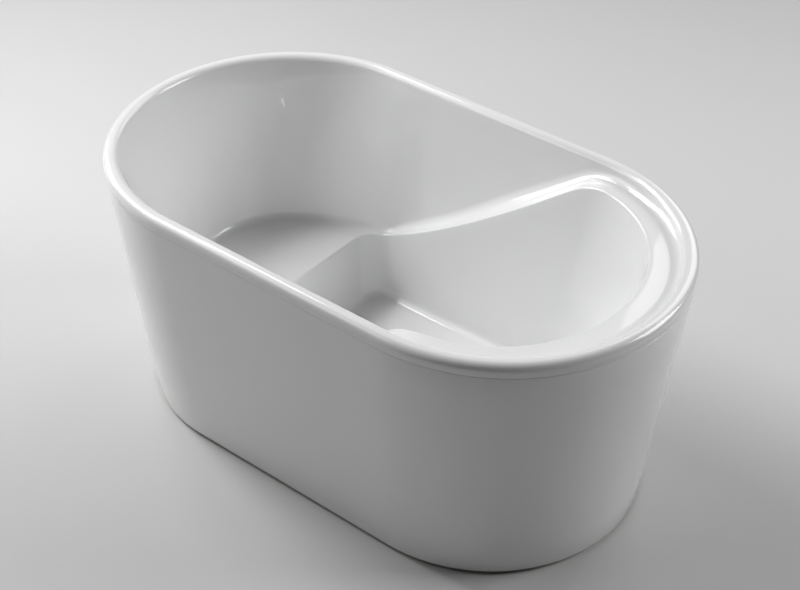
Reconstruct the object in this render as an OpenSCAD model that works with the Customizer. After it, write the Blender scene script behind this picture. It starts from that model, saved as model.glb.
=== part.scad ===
// Round-ended free-standing bath: two moulded shells carried by a levelled steel frame.
// Millimetres. X runs along the bath with the seat at -X, Z is up, and the floor is z = 0.

/* [Outer shape] */
// Length over the rim
tub_length = 1400; // [1340:10:1600]
// Width over the rim
tub_width = 808; // [780:4:900]
// Height of the rim above the floor
tub_height = 630; // [605:5:670]
// How far the outer wall leans in at each end between rim and floor
end_lean = 73; // [60:1:85]
// How far the outer wall leans in at each side between rim and floor
side_lean = 55; // [45:1:60]
// Gap between the skirt's foot and the floor
skirt_gap = 10; // [9:1:12]

/* [Rim] */
// Radius of the rim's outer edge
rim_outer_radius = 17; // [15:1:20]
// Width of the flat between the rim's two edge radii
rim_flat = 2; // [1:1:5]
// Radius of the rim's inner edge
rim_inner_radius = 18; // [14:1:21]
// Height of the folded lip, from the rim's top to its lower edge
lip_height = 31; // [28:1:40]

/* [Inner shape] */
// Lean of the backrest wall from the vertical, in degrees
back_angle = 17; // [14:0.5:18]
// Lean of the long inner walls above the armrests from the vertical, in degrees
side_angle = 8.5; // [6.5:0.5:9]
// How far in front of the seat's edge the backrest's lean has faded out
fade_start = 130; // [110:5:150]
// Length along the bath over which the backrest's lean fades out
fade_length = 240; // [220:5:260]
// Height of the seat above the floor
seat_height = 242; // [226:2:256]
// Where the seat's front edge lies along the bath
seat_front_x = -286; // [-300:2:-274]
// Lean of the riser below the seat's front edge, in degrees
riser_angle = 10.5; // [7:0.5:14]
// How far the ledge lies below the rim
ledge_drop = 29; // [25:1:33]
// Width of rim and ledge together at the well's end
ledge_width = 109; // [104:1:118]
// Width of rim and armrest together at each side
armrest_width = 90; // [88:1:96]
// Radius between the inner wall and the seat, and between the inner wall and the ledge
seat_fillet = 26; // [20:1:28]
// Largest radius between the inner wall and the armrests
armrest_fillet = 45; // [38:1:46]
// Distance from the seat's front edge forward to the foot of the armrest's slope
slope_foot_advance = 28; // [20:2:36]
// Radius at the foot of the armrest's slope
slope_foot_radius = 82; // [66:2:100]
// Angle of the armrest where it leaves the foot radius
slope_foot_angle = 25; // [20:0.5:28]
// Distance from the bath's end to the head of the armrest's slope
slope_head_setback = 352; // [340:2:366]
// Radius at the head of the armrest's slope
slope_head_radius = 148; // [128:4:172]
// Angle of the armrest where it meets the head radius
slope_head_angle = 38; // [36:0.5:41]

/* [Well] */
// Height of the well floor above the ground
well_floor_height = 81; // [79:1:92]
// Lean of the well's walls from the vertical, in degrees
well_angle = 6; // [5:0.2:7]
// Depth of the well's rounded end
well_end_depth = 290; // [270:2:300]
// Radius of the two corners beside the riser
well_corner_radius = 65; // [55:5:80]
// Radius of the well's upper edge
well_edge_radius = 5; // [3:1:8]
// Radius between the well's walls and its floor
well_floor_fillet = 25; // [18:1:32]
// Fall of the well floor towards the waste
floor_fall = 2; // [1:0.5:3]

/* [Shells] */
// Thickness of the inner shell's walls
shell_t = 5; // [4:0.5:6]
// Thickness of the inner shell's well floor
floor_t = 7; // [6:0.5:8]
// Thickness of the skirt
skirt_t = 5; // [4:0.5:6]
// Width of the skirt's foot flange, inside its wall
flange_width = 35; // [30:1:45]
// Thickness of the skirt's foot flange
flange_t = 5; // [4:0.5:6]
// Bonding gap between the lip and the skirt's upstand inside it
bond_gap = 0.3; // [0.2:0.1:0.6]

/* [Boards and frame] */
// Thickness of the board under the well floor
floor_board_t = 9; // [8:0.5:12]
// Thickness of the board under the seat
seat_board_t = 12; // [9:1:16]
// Radius of the opening in the floor board round the waste
board_opening_radius = 62; // [58:1:75]
// Height and width of the square cross tubes
cross_size = 30; // [30:1:32]
// Height and width of the square rail tubes
rail_size = 20; // [18:1:20]
// Wall of the rail and cross tubes
tube_wall = 2; // [1.5:0.5:3]
// Distance of the two rails from the bath's centre line
rail_y = 140; // [125:5:150]
// Distance of the first cross tube and its feet from the seat's end of the bath
seat_cross_inset = 230; // [220:5:250]
// Distance of the last cross tube and its feet from the ledge's end of the bath
ledge_cross_inset = 245; // [240:5:260]
// Distance of the second cross tube behind the seat's front edge
seat_cross_setback = 40; // [35:5:60]
// Distance of the third cross tube from the waste
mid_cross_offset = 210; // [180:5:240]
// Distance of the fourth cross tube from the waste
well_cross_offset = 130; // [100:5:160]
// Distance of the seat posts from the centre line
post_y = 110; // [80:5:115]
// Width and depth of the seat posts and bearers
post_size = 20; // [16:1:25]
// Half length of the bearers under the seat board
bearer_reach = 150; // [135:5:165]
// Thickness of the bracket plate
bracket_t = 3; // [2:0.5:4]
// Width of the bracket plate
bracket_width = 30; // [24:1:34]
// Distance from a cross tube's end to the flange's free edge
bracket_gap = 12; // [8:1:16]
// Length of the bracket's seat on the flange
bracket_seat = 22; // [18:1:24]
// Length of a plastic cap inside its rail
cap_depth = 12; // [8:1:20]

/* [Feet] */
// Distance of the four outer feet from the centre line
foot_y = 176; // [168:2:182]
// Radius of the foot's threaded stud
stud_radius = 5; // [4:0.5:6]
// Running clearance round each stud
stud_clearance = 0.05; // [0.03:0.01:0.08]
// Height of the nut welded under a cross tube
weld_nut_height = 8; // [6:0.5:9]
// Height of the lock nut
lock_nut_height = 6; // [5:0.5:7]
// Radius of the foot pad
pad_radius = 25; // [20:1:28]
// Height of the foot pad's disc
pad_height = 7; // [5:0.5:7]
// Height of the hub on the pad, from the floor
hub_height = 11; // [9:0.5:11]
// How far a foot screws out
foot_travel_out = 15; // [10:1:20]

/* [Waste] */
// Where the waste lies along the bath
drain_x = 60; // [30:5:90]
// Radius of the hole in the well floor
drain_hole_radius = 26; // [25.5:0.5:28]
// Radius of the waste's top flange
waste_flange_radius = 36; // [34:1:40]
// Thickness of the waste's top flange
waste_flange_t = 3; // [2.5:0.5:4]
// Outer radius of the waste's tail
waste_tail_radius = 24; // [23:0.5:25]
// Thickness of the seal above the floor
top_seal_t = 1.5; // [1:0.5:2]
// Thickness of the seal below the floor
bottom_seal_t = 3; // [2:0.5:4]
// Radius of the waste body's flange
body_flange_radius = 34; // [32:1:38]
// Wall of the waste body and of the overflow's plastic pieces
plastic_wall = 3; // [2.5:0.5:3.5]
// Outer radius of the outlet spigot
outlet_radius = 20; // [18:0.5:21]
// Length of the outlet spigot
outlet_length = 20; // [18:1:22]
// Radius of the stopper's stem
stem_radius = 4; // [3:0.5:4.5]
// Running clearance of the stem in its cartridge
stem_clearance = 0.05; // [0.03:0.01:0.08]
// Wall of the click cartridge
cartridge_wall = 2.5; // [2:0.5:3]
// Radius of the stopper's cap
cap_radius = 31; // [29:1:33]
// Height by which the open stopper stands above its seat
stopper_lift = 8; // [6:0.5:9]

/* [Overflow] */
// Distance of the overflow's centre below the rim's top
overflow_drop = 90; // [85:5:100]
// Radius of the overflow's hole
overflow_hole_radius = 27; // [26:0.5:28]
// Radius of the overflow's cover
overflow_cover_radius = 33; // [31:1:36]
// How far the cover stands off the wall
overflow_cover_depth = 10; // [8:0.5:12]
// Thickness of the cover's metal
cover_t = 2; // [1.5:0.5:2.5]
// Thickness of the overflow's seal
overflow_seal_t = 3; // [2:0.5:3]
// Outer radius of the overflow elbow's cup
elbow_radius = 30; // [29.5:0.5:31]
// Depth of the overflow elbow's cup
elbow_depth = 24; // [23:1:25]
// Outer radius of the overflow pipe
pipe_radius = 11; // [10.5:0.5:11]
// Wall of the overflow pipe
pipe_wall = 1.8; // [1.5:0.1:2.2]
// Clearance of the pipe in its sockets
pipe_clearance = 0.1; // [0.05:0.05:0.15]
// Wall of the pipe's sockets
socket_wall = 2; // [1.8:0.1:2.2]
// Depth of the pipe's sockets
socket_depth = 14; // [12:1:16]
// Bend radius of the pipe's elbow, on its centre line
bend_radius = 45; // [40:1:55]
// Shank radius of the cover's screw
cover_screw_radius = 3; // [2.5:0.5:3]

/* [Hidden] */

// Stations round the shells: segments in each rounded end and along each straight side
end_steps = 32;
side_steps = 18;
// Segments of each well corner, taken from the rounded end on the seat's side
corner_steps = 8;
// Rings in each rolled or filleted edge
arc_steps = 3;
// Roundness of true circles, and of small ones
$fn = 64;
// Overshoot of cuts
cut = 1;
// A running gap between pieces that only lie near each other
air = 0.3;

// Heights worked down from the well floor through the boards, tubes and nuts
floor_underside = well_floor_height - floor_t;
seat_underside = seat_height - shell_t;
cross_top = floor_underside - floor_board_t;
cross_base = cross_top - cross_size;
rail_base = cross_base - rail_size;
weld_nut_base = cross_base - weld_nut_height;
lock_nut_base = weld_nut_base - lock_nut_height;
stud_top = cross_base + foot_travel_out;
stud_seat = 2;
stud_foot = pad_height - stud_seat;
bearer_base = seat_underside - seat_board_t - post_size;
lip_base = tub_height - lip_height;
ledge_height = tub_height - ledge_drop;
flange_top = skirt_gap + flange_t;

// Plan sizes
rim_arc_z = tub_height - rim_outer_radius;
rim_top_inset = rim_outer_radius + rim_flat;
end_centre_x = (tub_length - tub_width) / 2;
slope_foot_x = seat_front_x + slope_foot_advance;
slope_head_x = tub_length / 2 - slope_head_setback;
// Power that moves the armrest fillet's widest place towards the ledge
fillet_bias = 1.3;

// Half length and half width of the outer wall at a height
function outer_length(z) = tub_length / 2 - end_lean * (rim_arc_z - z) / rim_arc_z;
function outer_width(z) = tub_width / 2 - side_lean * (rim_arc_z - z) / rim_arc_z;

// Point of a round-ended plan outline at station k, counted from the near side's far corner
function stadium(k, half_length, half_width, sides) =
    let (centre = half_length - half_width)
    k < end_steps
        ? let (a = 180 * k / end_steps - 90)
            [centre + half_width * cos(a), half_width * sin(a)]
    : k < end_steps + sides
        ? [centre * (1 - 2 * (k - end_steps) / sides), half_width]
    : k < 2 * end_steps + sides
        ? let (a = 180 * (k - end_steps - sides) / end_steps + 90)
            [-centre + half_width * cos(a), half_width * sin(a)]
    : [centre * (2 * (k - 2 * end_steps - sides) / sides - 1), -half_width];

// Outer wall moved in by inset at a height
function outer_point(k, z, inset, sides) =
    let (p = stadium(k, outer_length(z) - inset, outer_width(z) - inset, sides))
    [p.x, p.y, z];

// Rim outline moved in by inset at a height
function rim_point(k, inset, z) =
    let (p = stadium(k, tub_length / 2 - inset, tub_width / 2 - inset, side_steps))
    [p.x, p.y, z];

// Lean of the inner wall along the bath: the backrest's lean fades out in front of the seat
function wall_angle(x) =
    let (t = max(0, min(1, (seat_front_x + fade_start - x) / fade_length)))
    side_angle + (back_angle - side_angle) * t * t * (3 - 2 * t);

// Fillet at the inner wall's foot: it swells along the armrest's slope and shrinks again
function wall_fillet(x) =
    let (
        t = max(0, min(1, (x - slope_foot_x) / (slope_head_x - slope_foot_x))),
        swell = sin(180 * pow(t, fillet_bias))
    )
    seat_fillet + (armrest_fillet - seat_fillet) * swell * swell;

// Height of seat, armrest and ledge along the bath: flat, radius, slope, radius, flat
function armrest_height(x) =
    let (
        x1 = slope_foot_x + slope_foot_radius * sin(slope_foot_angle),
        z1 = seat_height + slope_foot_radius * (1 - cos(slope_foot_angle)),
        x2 = slope_head_x - slope_head_radius * sin(slope_head_angle),
        z2 = ledge_height - slope_head_radius * (1 - cos(slope_head_angle)),
        t = (x - x1) / (x2 - x1),
        m1 = tan(slope_foot_angle) * (x2 - x1),
        m2 = tan(slope_head_angle) * (x2 - x1)
    )
    x <= slope_foot_x ? seat_height
    : x < x1 ? seat_height + slope_foot_radius
        - sqrt(pow(slope_foot_radius, 2) - pow(x - slope_foot_x, 2))
    : x < x2 ? (2 * t * t * t - 3 * t * t + 1) * z1 + (t * t * t - 2 * t * t + t) * m1
        + (3 * t * t - 2 * t * t * t) * z2 + (t * t * t - t * t) * m2
    : x < slope_head_x ? ledge_height - slope_head_radius
        + sqrt(pow(slope_head_radius, 2) - pow(slope_head_x - x, 2))
    : ledge_height;

// Plan outline of the well at a height, moved outward by out
function well_plan(k, z, out) =
    let (
        lean = tan(well_angle) * (ledge_height - z),
        half_width = tub_width / 2 - armrest_width - lean + out,
        end_x = tub_length / 2 - ledge_width - lean,
        centre_x = end_x - well_end_depth,
        riser_x = seat_front_x + tan(riser_angle) * (seat_height - z) - out,
        corner = well_corner_radius + out,
        corner_x = riser_x + corner,
        corner_y = half_width - corner,
        j = k - end_steps - side_steps,
        riser_steps = end_steps - 2 * corner_steps
    )
    k < end_steps
        ? let (a = 180 * k / end_steps - 90)
            [centre_x + (well_end_depth + out) * cos(a), half_width * sin(a)]
    : j < 0
        ? [centre_x + (corner_x - centre_x) * (k - end_steps) / side_steps, half_width]
    : j < corner_steps
        ? let (a = 90 + 90 * j / corner_steps)
            [corner_x + corner * cos(a), corner_y + corner * sin(a)]
    : j <= end_steps - corner_steps
        ? [riser_x, corner_y * (1 - 2 * (j - corner_steps) / riser_steps)]
    : j < end_steps
        ? let (a = 180 + 90 * (j - end_steps + corner_steps) / corner_steps)
            [corner_x + corner * cos(a), -corner_y + corner * sin(a)]
    : [corner_x + (centre_x - corner_x) * (j - end_steps) / side_steps, -half_width];

// Point of the well's wall where it is below the armrest's surface by drop
function well_edge(k, out, drop) =
    let (
        z1 = armrest_height(well_plan(k, ledge_height, out).x),
        z2 = armrest_height(well_plan(k, z1, out).x),
        p = well_plan(k, z2 - drop, out)
    )
    [p.x, p.y, armrest_height(p.x) - drop];

// Point of the well's wall at a height
function well_point(k, z, out) =
    let (p = well_plan(k, z, out))
    [p.x, p.y, z];

// Point on a circle round the waste, in the direction of a floor point
function drain_ring(p, radius, z) =
    let (d = [p.x - drain_x, p.y], s = radius / norm(d))
    [drain_x + d.x * s, d.y * s, z];

// Inner shell's section at station k, from the waste up over the rim and back underneath
function basin_section(k) =
    let (
        station_x = rim_point(k, armrest_width, 0).x,
        seat_level = armrest_height(station_x),
        fillet = wall_fillet(station_x),
        drop = tub_height - seat_level,
        least_wall = 1,
        turn = min(90 - wall_angle(station_x),
            acos(1 - (drop - least_wall) / (rim_inner_radius + fillet))),
        arc_inset = rim_top_inset + rim_inner_radius * sin(turn),
        arc_z = tub_height - rim_inner_radius * (1 - cos(turn)),
        wall_z = seat_level + fillet * (1 - cos(turn)),
        wall_inset = arc_inset + (arc_z - wall_z) / tan(turn),
        fillet_inset = wall_inset + fillet * sin(turn),
        fillet_z = seat_level + fillet,
        floor_turn = 90 - well_angle,
        floor_wall_z = well_floor_height + well_floor_fillet * (1 - cos(floor_turn)),
        floor_plan = well_plan(k, floor_wall_z, -well_floor_fillet * sin(floor_turn)),
        edge = well_edge_radius,
        edge_mid = edge * (1 - cos(45)),
        floor_back = 0.8,
        roll = rim_outer_radius - shell_t
    )
    concat(
        [drain_ring(floor_plan, dish_radius, well_floor_height - floor_fall)],
        [for (i = [0 : arc_steps])
            let (a = floor_turn * i / arc_steps)
            well_point(k, floor_wall_z, -well_floor_fillet * (sin(floor_turn) - sin(a)))
                + [0, 0, well_floor_height + well_floor_fillet * (1 - cos(a)) - floor_wall_z]],
        [well_edge(k, 0, edge), well_edge(k, edge_mid, edge_mid), well_edge(k, edge, 0)],
        [for (i = [0 : arc_steps])
            let (a = turn * i / arc_steps)
            rim_point(k, fillet_inset - fillet * sin(a), fillet_z - fillet * cos(a))],
        [for (i = [arc_steps : -1 : 0])
            let (a = turn * i / arc_steps)
            rim_point(k, rim_top_inset + rim_inner_radius * sin(a),
                tub_height - rim_inner_radius * (1 - cos(a)))],
        [for (i = [arc_steps + 1 : -1 : 1])
            let (a = 90 * i / (arc_steps + 1))
            rim_point(k, rim_outer_radius * (1 - cos(a)), rim_arc_z + rim_outer_radius * sin(a))],
        [outer_point(k, rim_arc_z, 0, side_steps), outer_point(k, lip_base, 0, side_steps)],
        [outer_point(k, lip_base, shell_t, side_steps)],
        [outer_point(k, rim_arc_z, shell_t, side_steps)],
        [for (a = [45, 90])
            rim_point(k, shell_t + roll * (1 - cos(a)), rim_arc_z + roll * sin(a))],
        [for (i = [0, 0.5, 1])
            let (a = turn * i, r = rim_inner_radius - shell_t)
            rim_point(k, rim_top_inset + r * sin(a), tub_height - rim_inner_radius + r * cos(a))],
        [for (i = [1, 0.5, 0])
            let (a = turn * i, r = fillet + shell_t)
            rim_point(k, fillet_inset - r * sin(a), fillet_z - r * cos(a))],
        [well_edge(k, shell_t, shell_t), well_point(k, floor_wall_z, shell_t)],
        [let (r = well_floor_fillet + shell_t, a = 45)
            well_point(k, floor_wall_z, r * sin(a) - well_floor_fillet * sin(floor_turn))
                + [0, 0, well_floor_height + well_floor_fillet - r * cos(a) - floor_wall_z]],
        [let (p = well_plan(k, floor_wall_z, -well_floor_fillet * floor_back))
            [p.x, p.y, floor_underside]]
    );

// Skirt's section at station k, a closed loop: wall, shoulder, upstand and foot flange
function skirt_section(k) =
    let (
        shoulder = shell_t + bond_gap,
        upstand_top = rim_arc_z - bond_gap,
        inner = shoulder + skirt_t
    )
    [
        outer_point(k, skirt_gap, 0, 1),
        outer_point(k, lip_base, 0, 1),
        outer_point(k, lip_base, shoulder, 1),
        outer_point(k, upstand_top, shoulder, 1),
        outer_point(k, upstand_top, inner, 1),
        outer_point(k, lip_base - skirt_t, inner, 1),
        outer_point(k, lip_base - 2 * skirt_t, skirt_t, 1),
        outer_point(k, flange_top, skirt_t, 1),
        outer_point(k, flange_top, skirt_t + flange_width, 1),
        outer_point(k, skirt_gap, skirt_t + flange_width, 1)
    ];

// Triangles between neighbouring rings; a closed strip also joins the last to the first
function strip_faces(rings, stations, closed) =
    [for (j = [0 : rings - (closed ? 1 : 2)], k = [0 : stations - 1])
        let (
            n = (j + 1) % rings,
            m = (k + 1) % stations,
            a = j * stations + k,
            b = j * stations + m,
            c = n * stations + m,
            d = n * stations + k
        )
        each [[a, b, c], [a, c, d]]];

// Half width of the space inside the foot flange, where a bracket's outer corner meets it
function flange_edge(x) =
    let (
        inset = skirt_t + flange_width,
        half_width = outer_width(skirt_gap) - inset,
        centre = outer_length(skirt_gap) - inset - half_width,
        past = max(0, abs(x) + bracket_width / 2 - centre)
    )
    sqrt(pow(half_width, 2) - pow(past, 2));

// Cross tubes: place along the bath and half length; the middle three bear brackets
end_cross_reach = foot_y + cross_size;
cross_x = [
    seat_cross_inset - tub_length / 2,
    seat_front_x - seat_cross_setback,
    drain_x - mid_cross_offset,
    drain_x + well_cross_offset,
    tub_length / 2 - ledge_cross_inset
];
cross_reach = [
    for (i = [0 : 4])
        i == 0 || i == 4 ? end_cross_reach : flange_edge(cross_x[i]) - bracket_gap
];

// Feet: two under each end cross tube and one under the third
foot_at = [
    [cross_x[0], -foot_y], [cross_x[0], foot_y], [cross_x[2], 0],
    [cross_x[4], -foot_y], [cross_x[4], foot_y]
];

// Board screws in the cross tubes under the well floor
board_screw_radius = 2.5;
board_screw_head = [5, 3];
board_screw_bite = 6;
board_screw_inset = 35;
board_screw_at = [for (i = [2, 3], s = [-1, 1]) [cross_x[i], s * (rail_y - board_screw_inset)]];
screw_clearance = 0.1;
screw_head_taper = 1.5;
stud_hole_margin = 1;

// Rails reach a little past the first and last cross tubes
rail_start = cross_x[0] - cross_size;
rail_length = cross_x[4] + cross_size - rail_start;

// Seat: radius of the flat seat's rounded back, and of the board under it
seat_radii = rim_inner_radius + seat_fillet;
seat_flat_radius = tub_width / 2 - rim_top_inset - seat_radii * cos(back_angle)
    - tan(back_angle) * (tub_height - seat_height - seat_radii * (1 - sin(back_angle)));
seat_board_margin = 6;
seat_board_radius = seat_flat_radius - seat_board_margin;
seat_board_front = seat_front_x - 2 * shell_t;

// Well floor: edges of the board under it, set in from the foot of the well's fillet
board_side_margin = 4;
board_end_margin = 14;
board_front_margin = 16;
board_lean = tan(well_angle) * (ledge_height - well_floor_height);
board_half_width = tub_width / 2 - armrest_width - board_lean - well_floor_fillet
    - board_side_margin;
board_end_x = tub_length / 2 - ledge_width - board_lean - well_floor_fillet
    - board_end_margin;
board_front_x = seat_front_x + tan(riser_angle) * (seat_height - well_floor_height)
    + well_floor_fillet + board_front_margin;
board_corner = 45;

// Waste: radius of the floor's flat dish round it, and heights from the well floor down
dish_radius = waste_flange_radius + 14;
drain_seat = well_floor_height - floor_fall;
flange_base = drain_seat + top_seal_t;
flange_crown = flange_base + waste_flange_t;
body_top = floor_underside - bottom_seal_t;
branch_z = cross_base + cross_size / 2;
tail_drop = 10;
tail_base = body_top - tail_drop;
tail_bore = waste_tail_radius - plastic_wall;
body_bore = waste_tail_radius + screw_clearance;
body_radius = body_bore + plastic_wall;
body_base = skirt_gap + outlet_length;
spider_rise = 2;
spider_z = tail_base + spider_rise;
spider_height = 5;
cartridge_radius = stem_radius + stem_clearance + cartridge_wall;
cartridge_length = 18;
cartridge_rise = 4;
cartridge_top = spider_z + spider_height + cartridge_rise;
cartridge_base = cartridge_top - cartridge_length;
seal_land = 1.5;
top_seal_inset = 2;
stopper_seal_t = 2;
cap_base = flange_crown + stopper_lift + air;
cap_t = 3;
stem_seat = 2;

// Pipe sockets
socket_bore = pipe_radius + pipe_clearance;
socket_radius = socket_bore + socket_wall;

// Overflow: its centre on the wall's inner face, and its axis along the wall's normal
overflow_height = tub_height - overflow_drop;
overflow_inset = rim_top_inset + rim_inner_radius * cos(side_angle)
    + tan(side_angle) * (tub_height - rim_inner_radius * (1 - sin(side_angle)) - overflow_height);
overflow_centre = [drain_x, overflow_inset - tub_width / 2, overflow_height];
elbow_front = -shell_t - overflow_seal_t;
pipe_offset = elbow_front - air - socket_radius;
elbow_neck = 6;
elbow_socket_start = elbow_radius + elbow_neck;
elbow_socket_end = elbow_socket_start + socket_depth;

// Pipe run down the wall: its corner over the branch, and where its bend starts
down_y0 = overflow_centre.y + pipe_offset * cos(side_angle);
down_z0 = overflow_centre.z + pipe_offset * sin(side_angle);
down_length = (down_z0 - branch_z) / cos(side_angle);
bend_turn = 90 - side_angle;
bend_tangent = bend_radius * tan(bend_turn / 2);
bend_start = down_length - bend_tangent;
run_start_y = down_y0 + down_length * sin(side_angle) + bend_tangent;
branch_length = 26;
branch_end_y = -body_radius - branch_length;

// Local frame on the near inner wall: Z leaves the wall into the bath, Y runs down the wall
module on_overflow() {
    translate(overflow_centre) rotate([side_angle - 90, 0, 0]) children();
}

// Ring or tube standing on z
module tube(outer, inner, height, z) {
    translate([0, 0, z]) difference() {
        cylinder(r = outer, h = height);
        translate([0, 0, -cut]) cylinder(r = inner, h = height + 2 * cut);
    }
}

// Square tube along Y or X, centred on the origin's line, standing on z = 0
module square_tube_y(size, reach) {
    translate([-size / 2, -reach, 0]) difference() {
        cube([size, 2 * reach, size]);
        translate([tube_wall, -cut, tube_wall])
            cube([size - 2 * tube_wall, 2 * reach + 2 * cut, size - 2 * tube_wall]);
    }
}

// Hexagon nut with a plain bore, standing on z
module hex_nut(across, bore, height, z) {
    translate([0, 0, z]) difference() {
        cylinder(r = across / sqrt(3), h = height, $fn = 6);
        translate([0, 0, -cut]) cylinder(r = bore, h = height + 2 * cut);
    }
}

module basin() {
    stations = 2 * (end_steps + side_steps);
    sections = [for (k = [0 : stations - 1]) basin_section(k)];
    rings = len(sections[0]);
    show_pole = rings * stations;
    hidden_pole = show_pole + 1;
    last = (rings - 1) * stations;
    color("white") difference() {
        polyhedron(
            points = concat(
                [for (j = [0 : rings - 1], k = [0 : stations - 1]) sections[k][j]],
                [[drain_x, 0, drain_seat], [drain_x, 0, floor_underside]]
            ),
            faces = concat(
                strip_faces(rings, stations, false),
                [for (k = [0 : stations - 1]) [(k + 1) % stations, k, show_pole]],
                [for (k = [0 : stations - 1])
                    [last + k, last + (k + 1) % stations, hidden_pole]]
            ),
            convexity = 6
        );
        translate([drain_x, 0, floor_underside - cut])
            cylinder(r = drain_hole_radius, h = floor_t + 2 * cut);
        on_overflow() translate([0, 0, -shell_t - cut])
            cylinder(r = overflow_hole_radius, h = shell_t + 2 * cut);
    }
}

module skirt() {
    stations = 2 * (end_steps + 1);
    sections = [for (k = [0 : stations - 1]) skirt_section(k)];
    rings = len(sections[0]);
    color("whitesmoke") polyhedron(
        points = [for (j = [0 : rings - 1], k = [0 : stations - 1]) sections[k][j]],
        faces = strip_faces(rings, stations, true),
        convexity = 6
    );
}

module floor_board() {
    end_centre = board_end_x - board_half_width;
    color("burlywood") translate([0, 0, cross_top]) difference() {
        linear_extrude(floor_board_t) union() {
            translate([board_front_x + board_corner, -board_half_width])
                square([end_centre - board_front_x - board_corner, 2 * board_half_width]);
            translate([board_front_x, board_corner - board_half_width])
                square([2 * board_corner, 2 * (board_half_width - board_corner)]);
            for (s = [-1, 1])
                translate([board_front_x + board_corner, s * (board_half_width - board_corner)])
                    circle(r = board_corner);
            translate([end_centre, 0]) circle(r = board_half_width);
        }
        translate([drain_x, 0, -cut])
            cylinder(r = board_opening_radius, h = floor_board_t + 2 * cut);
        for (p = board_screw_at)
            translate([p.x, p.y, -cut])
                cylinder(r = board_screw_radius + screw_clearance, h = board_screw_bite + cut + air);
    }
}

module seat_board() {
    color("burlywood") translate([0, 0, seat_underside - seat_board_t])
        linear_extrude(seat_board_t) intersection() {
            translate([-end_centre_x, 0]) circle(r = seat_board_radius);
            translate([-tub_length, -tub_width / 2])
                square([tub_length + seat_board_front, tub_width]);
        }
}

module rail(side) {
    bore = rail_size - 2 * tube_wall;
    color("silver") translate([rail_start, side * rail_y - rail_size / 2, rail_base]) difference() {
        cube([rail_length, rail_size, rail_size]);
        translate([-cut, tube_wall, tube_wall]) cube([rail_length + 2 * cut, bore, bore]);
    }
}

module rail_caps() {
    plug = rail_size - 2 * tube_wall - 2 * screw_clearance;
    lid_t = 2;
    middle = rail_start + rail_length / 2;
    color("dimgray")
        for (end = [-1, 1], side = [-1, 1])
            translate([middle + end * rail_length / 2, side * rail_y, rail_base + rail_size / 2])
                union() {
                    translate([end * lid_t / 2, 0, 0])
                        cube([lid_t, rail_size, rail_size], center = true);
                    translate([-end * cap_depth / 2, 0, 0])
                        cube([cap_depth, plug, plug], center = true);
                }
}

module cross(i) {
    color("silver") difference() {
        translate([cross_x[i], 0, cross_base]) square_tube_y(cross_size, cross_reach[i]);
        for (p = foot_at)
            if (p.x == cross_x[i])
                translate([p.x, p.y, cross_base - cut])
                    cylinder(r = stud_radius + stud_hole_margin, h = tube_wall + 2 * cut);
        for (p = board_screw_at)
            if (p.x == cross_x[i])
                translate([p.x, p.y, cross_base - cut])
                    cylinder(r = board_screw_radius + screw_clearance, h = cross_size + 2 * cut);
    }
}

module post(x, side) {
    height = bearer_base - cross_top;
    bore = post_size - 2 * tube_wall;
    color("silver") translate([x - post_size / 2, side * post_y - post_size / 2, cross_top])
        difference() {
            cube([post_size, post_size, height]);
            translate([tube_wall, tube_wall, -cut]) cube([bore, bore, height + 2 * cut]);
        }
}

module bearer(x) {
    color("silver") translate([x, 0, bearer_base]) square_tube_y(post_size, bearer_reach);
}

module bracket(i, side) {
    reach = cross_reach[i];
    seat = bracket_gap + bracket_seat;
    height = cross_top - flange_top;
    color("darkgray") translate([cross_x[i], side * reach, flange_top]) difference() {
        union() {
            translate([0, side * bracket_t / 2, height / 2])
                cube([bracket_width, bracket_t, height], center = true);
            translate([0, side * seat / 2, bracket_t / 2])
                cube([bracket_width, seat, bracket_t], center = true);
        }
        translate([0, side * (bracket_gap + bracket_seat / 2), -cut])
            cylinder(r = board_screw_radius + screw_clearance, h = bracket_t + 2 * cut);
    }
}

// Self-tapping screws that hold the brackets to the skirt's flange; their tips are cut flush
module bracket_screws() {
    color("gray")
        for (i = [1, 2, 3], side = [-1, 1])
            translate([cross_x[i], side * (cross_reach[i] + bracket_gap + bracket_seat / 2),
                flange_top + bracket_t])
                union() {
                    cylinder(r1 = board_screw_head.x, r2 = board_screw_head.x - screw_head_taper,
                        h = board_screw_head.y);
                    translate([0, 0, -bracket_t]) cylinder(r = board_screw_radius, h = bracket_t);
                }
}

// Screws through the cross tubes into the floor board
module board_screws() {
    color("gray")
        for (p = board_screw_at)
            translate([p.x, p.y, cross_base]) union() {
                translate([0, 0, -board_screw_head.y])
                    cylinder(r1 = board_screw_head.x - screw_head_taper, r2 = board_screw_head.x,
                        h = board_screw_head.y);
                cylinder(r = board_screw_radius, h = cross_size + board_screw_bite);
            }
}

// Hexagon nuts on the five studs
module stud_nuts(height, z) {
    color("silver")
        for (p = foot_at)
            translate([p.x, p.y, 0])
                hex_nut(3.4 * stud_radius, stud_radius + stud_clearance, height, z);
}

module foot_stud(i) {
    tip = 1;
    length = stud_top - stud_foot;
    color("lightgray") translate([foot_at[i].x, foot_at[i].y, stud_foot]) union() {
        cylinder(r = stud_radius, h = length - tip);
        translate([0, 0, length - tip])
            cylinder(r1 = stud_radius, r2 = stud_radius - tip, h = tip);
    }
}

module foot_pad(i) {
    sole_edge = 1;
    pad_slope = 3;
    color("dimgray") translate([foot_at[i].x, foot_at[i].y, 0]) difference() {
        rotate_extrude() polygon([
            [0, 0], [pad_radius - sole_edge, 0], [pad_radius, sole_edge],
            [pad_radius, pad_height - pad_slope], [pad_radius - pad_slope, pad_height],
            [2 * stud_radius, pad_height], [1.8 * stud_radius, hub_height], [0, hub_height]
        ]);
        translate([0, 0, stud_foot]) cylinder(r = stud_radius, h = hub_height);
    }
}

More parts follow.
